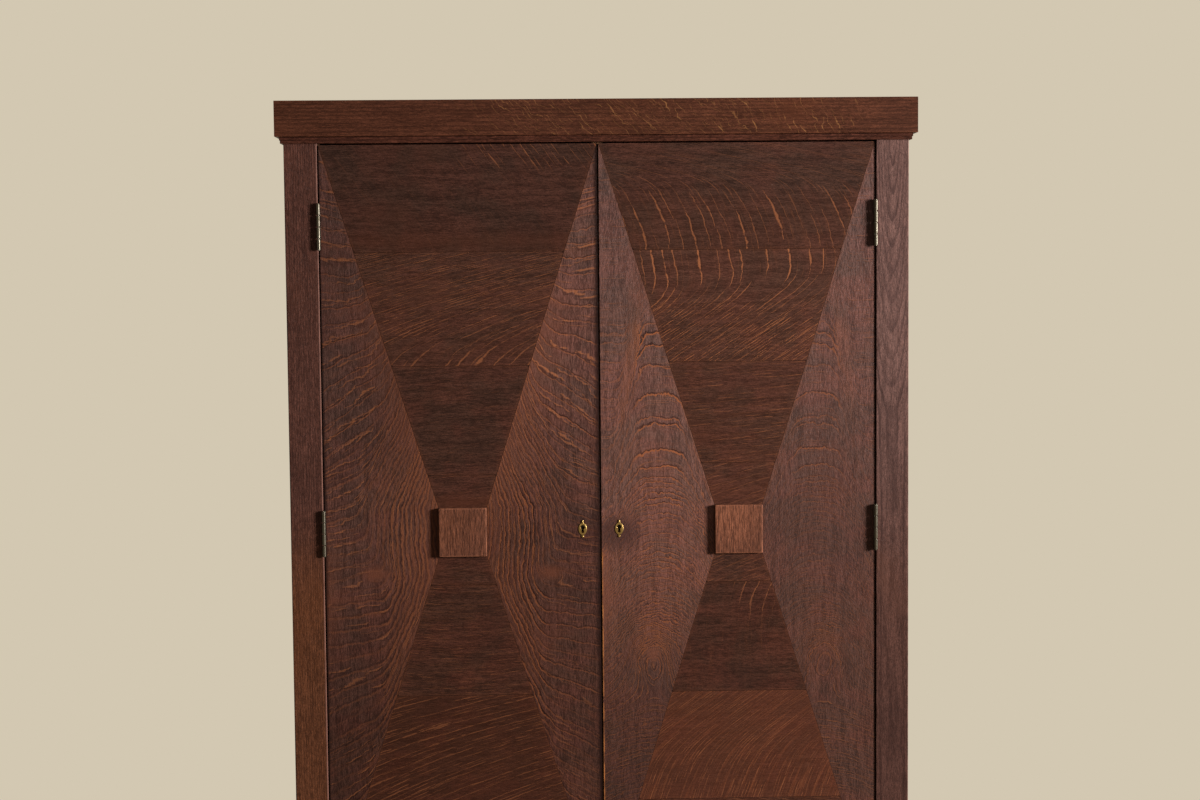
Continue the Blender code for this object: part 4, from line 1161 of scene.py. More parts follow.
def left_field_figure(q, depth, near):
    """Level lines that turn along the hourglass: v = S(depth) - g(depth) (q - 150 mm)
    + softplus(E(depth) - q) + 0.3 softplus(near + 25 mm - q), with a hill for the blob.
    E is the distance from the door's middle within which the lines stand up."""
    level = running_total(*LEFT_LEVEL, depth)
    tilt, stand = np.interp(depth, *LEFT_TILT), np.interp(depth, *LEFT_STAND)
    v = level - tilt * (q - 0.150) + softplus(stand - q, 0.006)
    upper = rising(depth, 0.15, 0.2) * falling(depth, 0.78, 0.1)
    v = v + 0.3 * softplus(near + 0.025 - q, 0.006) * upper
    return v + swell(q, depth, (0.175, 0.834), (0.026, 0.011), 0.009)


def ring_count(v, marks, pitch):
    """Lines numbered at their places, and evenly spaced past the last one."""
    before = marks[0] - np.arange(24, 0, -1) * LEAD_PITCH
    places = np.concatenate([before, marks, marks[-1] + pitch * np.arange(1, 200)])
    return np.interp(v, places, np.arange(len(places)) + 0.5)


def line_spacing(count, q, depth):
    """Distance between lines: 1 / the length of the count's gradient, on a grid whose columns lean."""
    count_across = np.gradient(count, axis=1) / np.gradient(q, axis=1)
    rows = np.gradient(depth, axis=0)
    count_down = (np.gradient(count, axis=0) - count_across * np.gradient(q, axis=0)) / rows
    return 1 / np.clip(np.hypot(count_across, count_down), 8, 400)


def half_width(depth):
    """Half the hourglass's width: the waist's beside the block, and growing evenly to the door's."""
    above = np.clip(WAIST_DEPTHS[0] - depth, 0, None) / WAIST_DEPTHS[0]
    below = np.clip(depth - WAIST_DEPTHS[1], 0, None) / (DOOR_HEIGHT - WAIST_DEPTHS[1])
    return HALF_WAIST + (HALF_DOOR - HALF_WAIST) * np.maximum(above, below)


def veneer_sheet(name, side, a, depth, material, grain, figure, values):
    """A flat sheet of veneer on a door, with its grain and figure maps and its named numbers. The
    place a is measured from the door's middle, and depth from its top."""
    front = np.stack([SIDES[side] * DOOR_MID_X + a, np.full(a.shape, VENEER_FRONT_Y), DOOR_HIGH.z - depth], axis=-1)
    obj = slab(name, front, VENEER_BACK_Y, material)
    for label, pair in (("grain", grain), ("figure", figure)):
        add_uv(obj.data, label, twice(np.stack(pair, axis=-1).reshape(-1, 2)))
    for label, value in values.items():
        add_values(obj.data, label, twice(np.broadcast_to(value, a.shape).ravel()))
    return obj


def hourglass_leaf(side, number, step, material):
    """One leaf: x = middle + s x half width(depth), s from -1 to 1, depth between its two joints."""
    ends = (0, *LEAF_JOINTS[side], DOOR_HEIGHT)
    is_first, is_last = number == 0, number == len(ends) - 2
    top = ends[number] + (0 if is_first else LEAF_GAP / 2)
    bottom = ends[number + 1] - (0 if is_last else LEAF_GAP / 2)
    rows = max(4, round((bottom - top) / step)) + 1
    inside = [d for d in WAIST_DEPTHS if top < d < bottom]
    depths = np.unique(np.concatenate([np.linspace(top, bottom, rows), inside]))
    across = np.linspace(-1, 1, 2 * max(12, round(0.5 / step / 2)) + 1)
    half = half_width(depths)[:, None] - FIELD_GAP / 2
    a = across[None] * half
    depth = np.broadcast_to(depths[:, None], a.shape)
    (u, v), bold, fine, streak, amber = leaf_figure(side, number, a, depth - ends[number])
    shift = 1.7 * number + (0.9 if side == "right" else 0.0)
    to_joint = np.minimum(depth - top + is_first, bottom - depth + is_last)
    values = {
        "bold": bold,
        "fine": fine,
        "arch": streak,
        "amber": amber,
        "tone": LEAF_TONES[side][number],
        "grime": 0.0,
        "stagger": 0.12 if (side, number) == ("right", 1) else SCATTERED,
        "edge": np.minimum((half - np.abs(a)) * DIAGONAL_SLANT, to_joint),
        "rim": 1.0,
    }
    grain, figure = (a + shift, depth + shift * 0.37), (u + shift, v + shift * 2)
    return veneer_sheet(f"{side}_hourglass_leaf_{number + 1}", side, a, depth, material, grain, figure, values)


def right_field_marks(q, depth, inner):
    """Figure, growth lines and tones of a right field: arches, bolder on the inner one, and the eye."""
    strength = rising(depth, 0.20, 0.12, 0.25) * (1.0 if inner else 0.7)
    rounder = rising(depth, 0.61, 0.06)
    beyond = rising(np.abs(q - ARCH_MIDDLE), ARCH_HALF_WIDTH, 0.014) * (1 - 0.5 * rounder)
    weight = strength * (1 + 0.35 * peak(depth, 0.50, 0.14)) * (1.5 if inner else 1.1) * (1 - 0.80 * beyond)
    weight = weight * (1 - 0.42 * rounder) * rising(depth, 0.33, 0.03, 0.2)
    from_eye = np.hypot((q - EYE_PLACE[0]) / 0.030, (depth - EYE_PLACE[1]) / 0.050)
    rim = np.exp(-((from_eye - 0.6) ** 2) / 0.30)
    amber = 0.10 * peak(q, 0.15, 0.045) * rising(depth, 0.36, 0.1)
    return {
        "figure": (q + 0.35 * depth, right_field_figure(q, depth)),
        "fine": 0.45 + 0.35 * rising(depth, 0.95, 0.1),
        "arch": strength,
        "ring_weight": weight + (0.8 if inner else 0.40) * rim,
        "ring_width": 1.25 - 0.55 * rounder + 0.35 * rim,
        "amber": amber + (1.2 if inner else 0.4) * swell(q, depth, EYE_PLACE, (0.012, 0.014)),
        "grime": np.zeros_like(q),
    }


def left_field_marks(q, depth, near, inner):
    """Figure, growth lines and tones of a left field: lines that turn along the hourglass."""
    near_edge = peak(q, near, 0.05) * rising(depth, 0.25, 0.1)
    low = rising(depth, 0.55, 0.12)
    weight = 0.75 + (0.30 if inner else -0.10) * low
    amber = 0.45 * near_edge * falling(depth, 1.1, 0.2)
    return {
        "figure": (depth * 0.8 + q * 0.6, left_field_figure(q, depth, near)),
        "fine": (0.65 + 0.45 * near_edge) * np.where(inner & (depth > 0.9), 0.5, 1.0),
        "arch": rising(depth, 0.02, 0.1, 0.4),
        "ring_weight": weight * (1 - 0.45 * rising(q, 0.15, 0.02) * low) * (1 + 0.3 * near_edge),
        "ring_width": 1 + (0.1 if inner else 0.8) * low,
        "amber": amber + 1.3 * swell(q, depth, (0.170, 0.828), (0.022, 0.012)),
        # Painted shade along the door's edges: wide at the meeting edge, narrow at the hinge edge
        "grime": np.exp(-(((HALF_DOOR - q) / (0.007 if inner else 0.0018)) ** 2.5)),
    }


def side_field(side, inner, step, material):
    """One field: x runs from the hourglass to the door's edge by t, 0 to 1, at each depth."""
    rows = round(DOOR_HEIGHT / step) + 1
    depths = np.linspace(FIELD_END, DOOR_HEIGHT - FIELD_END, rows)
    depths = np.unique(np.concatenate([depths, WAIST_DEPTHS]))
    near = half_width(depths)[:, None] + FIELD_GAP / 2
    q = near + (HALF_DOOR - near) * np.linspace(0, 1, FIELD_COLUMNS)[None]
    depth = np.broadcast_to(depths[:, None], q.shape)
    a = q * SIDES[side] * (-1 if inner else 1)
    right = side == "right"
    values = right_field_marks(q, depth, inner) if right else left_field_marks(q, depth, near, inner)
    along, v = values.pop("figure")
    rings = ring_count(v, ARCH_DEPTHS, RIGHT_PITCH) if right else v / LEFT_PITCH
    beside_block = (depth > WAIST_DEPTHS[0]) & (depth < WAIST_DEPTHS[1])
    golden = peak(depth, 0.88, 0.09) * peak(HALF_DOOR - q, 0, 0.022) * (right == inner)
    values.update(
        bold=values["arch"] * values["fine"],
        ring_count=rings,
        ring_pitch=line_spacing(rings, q, depth),
        # Painted shade along the field's edge beside the block
        grime=np.maximum(values["grime"], 0.35 * peak(q, near, 0.0035) * beside_block),
        amber=np.clip(values["amber"] + 0.7 * golden, 0, 1),
        tone=np.interp(depth, TONE_DEPTHS, FIELD_TONES[side][int(inner)]),
        stagger=SCATTERED,
        edge=(q - near) * DIAGONAL_SLANT + 0.004 * rising(depth, 0.75, 0.2) + 0.0008 * (depth > 0.75),
        # Painted highlight on the lower part of the right door's meeting edge
        rim=np.where(right & inner & (depth > 0.78), HALF_DOOR - q, 1.0),
    )
    shift = 0.4 if inner else 2.9
    grain, figure = (depth + shift, a + shift * 0.6), (along + shift, v + shift)
    name = f"{side}_{'inner' if inner else 'outer'}_field"
    return veneer_sheet(name, side, a, depth, material, grain, figure, values)


def crowded_turns(points):
    """Angles that stand five times closer at the top and bottom: turn + 0.4 sin(2 turn)."""
    turn = np.linspace(0, 2 * math.pi, points, endpoint=False)
    return turn + 0.4 * np.sin(2 * turn)


def keyhole_outline(turn):
    """Keyhole: a round hole, and a slot below it that opens slightly towards its foot."""
    across, up = np.cos(turn), np.sin(turn)
    slot_half = KEYHOLE_SLOT * (1 + 0.45 * np.clip((-up - 0.9) / 0.08, 0, 1))
    to_side = slot_half / np.maximum(np.abs(across), 1e-6)
    to_foot = KEYHOLE_DROP * (1 - 0.9 * across**2)
    slot = np.where(up < 0, np.minimum(to_side, to_foot), 0)
    radius = np.maximum(KEYHOLE_RADIUS, slot)
    return radius[:, None] * np.stack([across, up], axis=-1)


def plate_parts(x, z):
    """How deep a place on the escutcheon is inside its oval, its round pip and its tapering bud:
    1 at their middles, 0 at their outlines and below 0 outside."""
    top = (ESCUTCHEON_HIGH.z - ESCUTCHEON_LOW.z) / 2
    half_wide = (ESCUTCHEON_HIGH.x - ESCUTCHEON_LOW.x) / 2
    oval = 1 - ((x / half_wide) ** 2 + (z / OVAL_HALF_HEIGHT) ** 2)
    pip = 1 - (x**2 + (z + top - PIP_RADIUS) ** 2) / PIP_RADIUS**2
    share = np.clip((z - BUD_FOOT_Z) / (top - BUD_FOOT_Z), 0, 1)
    bud_half = (BUD_HALF_WIDTHS[0] + (BUD_HALF_WIDTHS[1] - BUD_HALF_WIDTHS[0]) * share) * np.sqrt(1 - share**6)
    bud = np.where(z > BUD_FOOT_Z, 1 - (x / np.maximum(bud_half, 1e-5)) ** 2, -1)
    return oval, pip, bud


def escutcheon_outline(turn):
    """The furthest place inside the oval, the pip or the bud along each ray from the middle."""
    top = (ESCUTCHEON_HIGH.z - ESCUTCHEON_LOW.z) / 2
    reach = np.linspace(0.007, top, 600)[:, None]
    inside = np.max(plate_parts(reach * np.cos(turn), reach * np.sin(turn)), axis=0) >= 0
    furthest = np.max(np.where(inside, reach, 0), axis=0)
    return furthest[:, None] * np.stack([np.cos(turn), np.sin(turn)], axis=-1)


def cut_keyhole(obj, centre_x, centre_z):
    """Cuts the keyhole through a veneer and leaves no modifier on it."""
    turn = np.linspace(0, 2 * math.pi, KEYHOLE_POINTS, endpoint=False)
    x, z = KEYHOLE_CLEARANCE * keyhole_outline(turn).T
    rings = [(centre_x + x, 0 * x + y, centre_z + z) for y in (VENEER_FRONT_Y - 0.01, VENEER_BACK_Y + 0.01)]
    points = np.stack(rings).transpose(0, 2, 1)
    cutter = add_piece("keyhole_cutter", points, closed_tube(2, KEYHOLE_POINTS), obj.data.materials[0])
    cut = obj.modifiers.new("keyhole", "BOOLEAN")
    cut.object = cutter
    cut.operation = "DIFFERENCE"
    cut.solver = "EXACT"
    bpy.context.view_layer.update()
    done = bpy.data.meshes.new_from_object(obj.evaluated_get(bpy.context.evaluated_depsgraph_get()))
    obj.modifiers.clear()
    obj.data = done
    bpy.data.objects.remove(cutter)


# Operators


def dress_nodes(material, *names):
    """Gives the frame's own nodes a finished material."""
    for name in names:
        mesh = frame["nodes"][name].data
        if not mesh.materials:
            mesh.materials.append(material)
        for index in range(len(mesh.materials)):
            mesh.materials[index] = material


class CABINET_OT_posts(bpy.types.Operator):
    """Four square-set posts, their arrises eased and worn."""

    bl_idname = "cabinet.posts"
    bl_label = "Posts"
    bl_options = {"REGISTER", "UNDO"}

    def execute(self, context):
        sizes = context.scene.cabinet_sizes
        finish = context.scene.cabinet_finish
        looks = {
            "front_right_post": dict(
                base=tint(finish.frame, (1.26, 1.75, 2.10)),
                heart=(0.5685, -0.2350),
                rise=(1.76, 1.20, 0.055),
                rings=200,
                contrast=0.75,
                coarse=0.45,
                late_span=(0.50, 0.82),
                seed=3.0,
                # Painted shade: darker and browner towards the bottom, as the light comes from high up
                fall=(1.40, 0.70, (0.53, 0.45, 0.41)),
            ),
            "front_left_post": dict(
                base=tint(finish.frame, (0.86, 0.92, 0.95)),
                heart=(-0.72, -0.30),
                rings=230,
                contrast=0.8,
                coarse=0.65,
                seed=7.0,
                fall=(1.05, 0.82, (1.22, 1.10, 0.72)),
                # A painted highlight along the inner arris, where the light from the right catches it
                wear_and_highlight=(-POST_LOW.x - 0.0030, -POST_LOW.x - 0.0012),
            ),
            "back_right_post": dict(
                base=tint(finish.frame, (1.2, 1.25, 1.3)),
                heart=(0.62, 0.31),
                rings=230,
                seed=11.0,
            ),
            "back_left_post": dict(base=tuple(finish.frame), heart=(-0.5, 0.33), rings=230, seed=15.0),
        }
        for number, (node, look) in enumerate(looks.items()):
            low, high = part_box(node)
            hidden = ("X", POST_LOW.x + POST_BARE_DEPTH, -POST_BARE_FADE, tuple(finish.inside))
            material = oak_material(f"{node}_oak", axis="Z", inside=hidden, **look)
            corners = rectangle(low.x, high.x, low.y, high.y)
            piece = board(f"{node}_board", corners, "Z", low.z, high.z, sizes.arris, material, seed=number * 2.4)
            settle(piece, "root", "frame_oak", node)
        return {"FINISHED"}


class CABINET_OT_rails(bpy.types.Operator):
    """Front and side rails, and the panels set between them."""

    bl_idname = "cabinet.rails"
    bl_label = "Rails and panels"
    bl_options = {"REGISTER", "UNDO"}

    def execute(self, context):
        sizes = context.scene.cabinet_sizes
        finish = context.scene.cabinet_finish
        dry = tuple(finish.inside)
        behind = ("Y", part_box("front_top_rail")[1].y - BARE_DEPTH, BARE_FADE, dry)
        rail = oak_material("rail_oak", finish.frame, "X", (-0.235, 1.30), 21.0, rings=210, inside=behind)
        hidden = ("X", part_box("right_top_rail")[0].x + BARE_DEPTH, -BARE_FADE, dry)
        side_rail = oak_material("side_rail_oak", finish.frame, "Y", (0.66, 1.2), 23.0, rings=210, inside=hidden)
        ends = POST_LOW.x - RAIL_CLEARANCE
        for number, node in enumerate(("front_top_rail", "front_bottom_rail")):
            low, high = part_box(node)
            corners = rectangle(low.y, high.y, low.z, high.z)
            piece = board(f"{node}_board", corners, "X", -ends, ends, sizes.arris, rail, seed=number)
            settle(piece, "root", "frame_oak", node)
        front, back = POST_HIGH.y + RAIL_CLEARANCE, BACK_POST_LOW.y - RAIL_CLEARANCE
        side_rails = [f"{side}_{level}_rail" for side in SIDES for level in ("top", "bottom")]
        for number, node in enumerate(side_rails):
            low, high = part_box(node)
            corners = rectangle(low.x, high.x, low.z, high.z)
            piece = board(f"{node}_board", corners, "Y", front, back, sizes.arris, side_rail, seed=5.0 + number)
            settle(piece, "root", "frame_oak", node)
        hidden = ("X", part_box("right_side_panel")[0].x + BARE_DEPTH, -BARE_FADE, dry)
        cut = dict(rise=(1.7, 0.2, 0.05), rings=190, contrast=0.8, inside=hidden)
        panel = oak_material("side_panel_oak", finish.frame, "Z", (0.0, 0.02), 27.0, **cut)
        dress_nodes(panel, "left_side_panel", "right_side_panel")
        back = oak_material("back_panel_oak", finish.inside, "Z", (0.1, 0.36), 29.0, rings=120, contrast=0.8, dry=True)
        dress_nodes(back, "back_panel")
        return {"FINISHED"}


class CABINET_OT_cornice(bpy.types.Operator):
    """Cornice boards and stepped beads, mitred at the front corners."""

    bl_idname = "cabinet.cornice"
    bl_label = "Cornice and bead"
    bl_options = {"REGISTER", "UNDO"}

    # Lane, length, share, width, wave, strength, slope and reach along x of the flecks
    FLECKS = (
        (0.0100, 0.028, 0.55, 0.0011, 0.008, 0.66, 0.90, (-0.32, -0.14, 0.20, 0.05)),
        (0.0080, 0.018, 0.45, 0.0008, 0.006, 0.32, 0.70, (-0.42, -0.20, 0.55, 0.40)),
        (0.0240, 0.044, 0.60, 0.0024, 0.014, 0.58, 1.10, (-0.08, 0.06, 0.38, 0.28)),
        (0.0340, 0.070, 0.60, 0.0034, 0.020, 0.62, 2.60, (0.20, 0.30, 0.56, 0.42)),
    )

    def execute(self, context):
        sizes = context.scene.cabinet_sizes
        finish = context.scene.cabinet_finish
        face = tint(finish.frame, (0.76, 0.68, 0.52))
        bead_face = tint(finish.frame, (0.66, 0.58, 0.50))
        board_cut = dict(rings=170, contrast=0.7)
        bead_cut = dict(rings=300, contrast=0.8)
        woods = {
            "cornice": oak_material(
                "cornice_oak", face, "X", (-0.30, 1.70), 31.0, flecks=self.FLECKS, coarse=0.55, **board_cut
            ),
            "cornice_bead": oak_material("bead_oak", bead_face, "X", (-0.28, 1.69), 37.0, **bead_cut),
        }
        returns = {
            "cornice": oak_material("cornice_return_oak", face, "Y", (0.75, 1.66), 33.0, **board_cut),
            "cornice_bead": oak_material("bead_return_oak", face, "Y", (0.72, 1.69), 39.0, **bead_cut),
        }
        for stem, wood in woods.items():
            low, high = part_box(f"{stem}_front")
            reach = POST_LOW.y - low.y
            section = rectangle(MOULDING_BACK, reach, low.z, high.z)
            radius = sizes.arris
            if stem == "cornice_bead":
                step = (reach - BEAD_STEP_DEPTH, low.z + BEAD_STEP)
                section[1:2] = [(step[0], low.z), step, (reach, step[1])]
                radius = min(radius, BEAD_ARRIS)
            self.runs(stem, section, radius, wood, returns[stem])
        low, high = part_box("top_board")
        under = ("Z", low.z + BARE_DEPTH, -BARE_FADE, tuple(finish.inside))
        cut = dict(rings=120, contrast=0.8, dry=True, inside=under)
        top = oak_material("top_board_oak", face, "X", (0.1, 1.70), 41.0, **cut)
        corners = rectangle(low.y, high.y, low.z, high.z)
        piece = board("top_board_board", corners, "X", low.x, high.x, sizes.arris, top)
        settle(piece, "root", "frame_oak", "top_board")
        return {"FINISHED"}

    def runs(self, stem, section, radius, wood, side_wood):
        """The front run and the two returns of one moulding, meeting on the corners' diagonals."""

        def corner(sign, gap=0.0):
            return lambda out, up: (sign * (POST_HIGH.x + out), POST_LOW.y - out + gap, up)

        def foot(sign):
            return lambda out, up: (sign * (POST_HIGH.x + out), BACK_POST_HIGH.y + 0 * out, up)

        front = moulding(f"{stem}_front_board", section, radius, corner(-1), corner(1), wood, FRONT_RINGS)
        settle(front, "root", "frame_oak", f"{stem}_front")
        for side, sign in SIDES.items():
            name = f"{stem}_{side}_board"
            piece = moulding(name, section, radius, corner(sign, MITRE_GAP), foot(sign), side_wood, RETURN_RINGS)
            settle(piece, "root", "frame_oak", f"{stem}_{side}")


class CABINET_OT_inside(bpy.types.Operator):
    """Dry oak of the partition, shelves and bottom board."""

    bl_idname = "cabinet.inside"
    bl_label = "Inside boards"
    bl_options = {"REGISTER", "UNDO"}

    def execute(self, context):
        finish = context.scene.cabinet_finish
        shelf = oak_material("shelf_oak", finish.inside, "X", (0.0, 0.60), 43.0, rings=130, dry=True)
        shelves = [f"{side}_{level}_shelf" for side in SIDES for level in ("lower", "upper")]
        dress_nodes(shelf, "bottom_board", *shelves)
        upright = oak_material("partition_oak", finish.inside, "Z", (0.3, 0.05), 47.0, rings=130, dry=True)
        dress_nodes(upright, "partition")
        return {"FINISHED"}


class CABINET_OT_cores(bpy.types.Operator):
    """Oak cores of the doors, seen at their edges and backs."""

    bl_idname = "cabinet.cores"
    bl_label = "Door cores"
    bl_options = {"REGISTER", "UNDO"}

    def execute(self, context):
        finish = context.scene.cabinet_finish
        core = oak_material("door_core_oak", tint(finish.inside, (0.62, 0.55, 0.5)), "Z", (0.3, -0.15), 53.0, rings=150)
        dress_nodes(core, "left_door_core", "right_door_core")
        return {"FINISHED"}


class CABINET_OT_marquetry(bpy.types.Operator):
    """Seven leaves and two side fields on each door."""

    bl_idname = "cabinet.marquetry"
    bl_label = "Marquetry"
    bl_options = {"REGISTER", "UNDO"}

    # Strength's name, lane, length, share, width and wave of the strokes
    LEAF_STROKES = (("bold", 0.0135, 0.095, 0.88, 0.0019, 0.008), ("fine", 0.0066, 0.032, 0.68, 0.0010, 0.006))
    FIELD_STROKES = (("bold", 0.0120, 0.090, 0.60, 0.0012, 0.012), ("fine", 0.0070, 0.035, 0.60, 0.0010, 0.009))

    def execute(self, context):
        sizes = context.scene.cabinet_sizes
        finish = context.scene.cabinet_finish
        # The fields' colour carries their painted sheen
        field_looks = {
            "left": (tint(finish.field, (0.72, 0.70, 0.68)), 8.0, dict(jag=1.3, pale=0.66)),
            "right": (tuple(finish.field), 11.0, dict(sheen=0.10, jag=2.0)),
        }
        fleck, step = finish.fleck, sizes.figure_step
        leaf_woods = {}
        for side, seed in (("left", 2.0), ("right", 5.0)):
            name = f"{side}_hourglass_oak"
            leaf_woods[side] = veneer_material(name, finish.hourglass, fleck, self.LEAF_STROKES, seed)
        for side, sign in SIDES.items():
            body = f"{side}_door"
            base, seed, look = field_looks[side]
            wood = veneer_material(f"{side}_field_oak", base, fleck, self.FIELD_STROKES, seed, light=True, **look)
            for number in range(7):
                leaf = hourglass_leaf(side, number, step, leaf_woods[side])
                settle(leaf, body, "dark_veneer", f"{side}_hourglass_veneer")
            outer = side_field(side, False, step, wood)
            settle(outer, body, "light_veneer", f"{side}_outer_veneer")
            inner = side_field(side, True, step, wood)
            cut_keyhole(inner, sign * KEYHOLE_X, KEYHOLE_Z)
            settle(inner, body, "light_veneer", f"{side}_inner_veneer")
        return {"FINISHED"}


class CABINET_OT_blocks(bpy.types.Operator):
    """Square blocks with rounded front edges at the hourglasses' waists."""

    bl_idname = "cabinet.blocks"
    bl_label = "Door blocks"
    bl_options = {"REGISTER", "UNDO"}

    def execute(self, context):
        sizes = context.scene.cabinet_sizes
        finish = context.scene.cabinet_finish
        for side, seed, tone, warmth in (("left", 61.0, 0.80, 1.08), ("right", 67.0, 0.78, 1.62)):
            node = f"{side}_door_block"
            low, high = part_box(node)
            heart = ((low.x + high.x) / 2 + 0.10, -0.20)
            lit = ((low.x + 0.015, low.y, high.z - 0.025), 0.105, (warmth, warmth * 0.98, warmth * 0.92))
            cut = dict(rings=340, contrast=0.5, coarse=1.1, stretch=(0.6, 1.8, 1.8), lit=lit)
            wood = oak_material(f"{node}_oak", tint(finish.block, (tone,) * 3), "Z", heart, seed, **cut)
            corners = rectangle(low.x, high.x, low.z, high.z)
            piece = board(f"{node}_board", corners, "Y", low.y, high.y, sizes.block_arris, wood, step=0.003, seed=seed)
            settle(piece, f"{side}_door", "block_oak", node)
        return {"FINISHED"}


class CABINET_OT_hinges(bpy.types.Operator):
    """Butt hinges: leaves, turned knuckles and loose pins."""

    bl_idname = "cabinet.hinges"
    bl_label = "Hinges"
    bl_options = {"REGISTER", "UNDO"}

    def execute(self, context):
        finish = context.scene.cabinet_finish
        brass = metal_material("hinge_brass_aged", finish.hinge, tint(finish.hinge, (0.45, 0.36, 0.18)), 0.29)
        for side, sign in SIDES.items():
            for level in LEVELS:
                stem = f"{side}_{level}_hinge"
                low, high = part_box(f"{stem}_frame_leaf")
                centre_z = (low.z + high.z) / 2
                spans = self.knuckle_spans(centre_z)
                frame_leaf = self.leaf(f"{stem}_frame_plate", sign, POST_LOW.x, 1, centre_z, spans[0::2], brass)
                settle(frame_leaf, "root", "hinge_brass", f"{stem}_frame_leaf")
                door_leaf = self.leaf(f"{stem}_door_plate", sign, DOOR_HIGH.x, -1, centre_z, spans[1::2], brass)
                settle(door_leaf, f"{side}_door", "hinge_brass", f"{stem}_door_leaf")
                low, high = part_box(f"{stem}_pin")
                shank = [(0.0010, low.z), (0.0016, low.z + 0.0006), (PIN_RADIUS, centre_z)]
                head = [(radius, high.z - drop) for radius, drop in PIN_HEAD]
                pin = turned(f"{stem}_turned_pin", shank + head, (sign * HINGE_AXIS_X, HINGE_AXIS_Y, 0), brass)
                settle(pin, "root", "hinge_brass", f"{stem}_pin")
        return {"FINISHED"}

    def knuckle_spans(self, centre_z):
        """Lowest and highest places of the knuckles, from the top one down."""
        edges = centre_z + HINGE_LENGTH / 2 - np.arange(KNUCKLES + 1) * HINGE_LENGTH / KNUCKLES
        return [(edges[i + 1] + KNUCKLE_GAP / 2, edges[i] - KNUCKLE_GAP / 2) for i in range(KNUCKLES)]

    def leaf(self, name, sign, face_x, inward, centre_z, spans, material):
        """A plate let into the wood, with a lug and a turned knuckle at each span."""
        shown = face_x - inward * LEAF_PROUD
        x_edges = sorted((sign * shown, sign * (face_x + inward * LEAF_THICKNESS)))
        plate, lug = (rectangle(*x_edges, *(HINGE_AXIS_Y + y for y in reach)) for reach in (PLATE_REACH, LUG_REACH))
        half = HINGE_LENGTH / 2
        parts = [board(f"{name}_flat", plate, "Z", centre_z - half, centre_z + half, LEAF_ARRIS, material)]
        for low, high in spans:
            parts.append(board(f"{name}_lug", lug, "Z", low, high, LEAF_ARRIS, material))
            ends = [(BARREL_RADIUS - KNUCKLE_EASE * share, KNUCKLE_EASE * rise) for share, rise in KNUCKLE_END]
            profile = [(radius, low + rise) for radius, rise in ends]
            profile += [(radius, high - rise) for radius, rise in reversed(ends)]
            parts.append(turned(f"{name}_knuckle", profile, (sign * HINGE_AXIS_X, HINGE_AXIS_Y, 0), material))
        return joined(name, parts)


class CABINET_OT_escutcheons(bpy.types.Operator):
    """Domed brass escutcheons with a keyhole through each."""

    bl_idname = "cabinet.escutcheons"
    bl_label = "Escutcheons"
    bl_options = {"REGISTER", "UNDO"}

    def execute(self, context):
        finish = context.scene.cabinet_finish
        brass = metal_material("escutcheon_brass", finish.brass, tint(finish.brass, (0.45, 0.36, 0.22)), 0.24, 0.35)
        for side, sign in SIDES.items():
            piece = self.plate(f"{side}_keyhole_plate", sign * KEYHOLE_X, brass)
            settle(piece, f"{side}_door", "brass", f"{side}_escutcheon")
        return {"FINISHED"}

    def plate(self, name, centre_x, material):
        """Place = keyhole + t x (outline - keyhole). The height is a round dome over the oval, the
        pip or the bud, whichever is highest, and falls away at the keyhole. The section runs up
        from the back, over the dome and down again."""
        turn = crowded_turns(PLATE_COLUMNS)
        inner = keyhole_outline(turn) + np.array((0, KEYHOLE_RISE))
        outer = escutcheon_outline(turn)
        share = np.concatenate([[0], np.linspace(0, 1, PLATE_ROWS), [1]])
        flat = inner[None] + share[:, None, None] * (outer - inner)[None]
        oval, pip, bud = (np.sqrt(np.clip(part, 0, 1)) for part in plate_parts(flat[..., 0], flat[..., 1]))
        near_lip = np.clip(share / LIP_SHARE, 0, 1)
        lip = np.sqrt(near_lip * (2 - near_lip))[:, None]
        height = 0.25 + 0.75 * np.maximum(np.maximum(oval * lip * 0.95, pip), 0.85 * bud)
        height[[0, -1]] = 0
        y = ESCUTCHEON_HIGH.y - (ESCUTCHEON_HIGH.y - ESCUTCHEON_LOW.y) * height
        points = np.stack([centre_x + flat[..., 0], y, PLATE_Z + flat[..., 1]], axis=-1)
        first = np.arange(PLATE_COLUMNS)
        last = first + (len(share) - 1) * PLATE_COLUMNS
        close = np.stack([last, np.roll(last, -1), np.roll(first, -1), first], axis=-1)
        faces = np.concatenate([grid_quads(len(share), PLATE_COLUMNS, wrap=True), close])
        return add_piece(name, points, faces.tolist(), material)


class CABINET_OT_locks(bpy.types.Operator):
    """Iron lock cases and their sliding bolts."""

    bl_idname = "cabinet.locks"
    bl_label = "Locks and bolts"
    bl_options = {"REGISTER", "UNDO"}

    def execute(self, context):
        iron = metal_material("lock_iron", srgb(118, 112, 104), srgb(70, 52, 40), 0.42, 0.7)
        bright = metal_material("bolt_steel", srgb(176, 172, 164), srgb(104, 92, 78), 0.30)
        dress_nodes(iron, "left_lock_case", "right_lock_case")
        dress_nodes(bright, "left_lock_bolt", "right_lock_bolt")
        return {"FINISHED"}


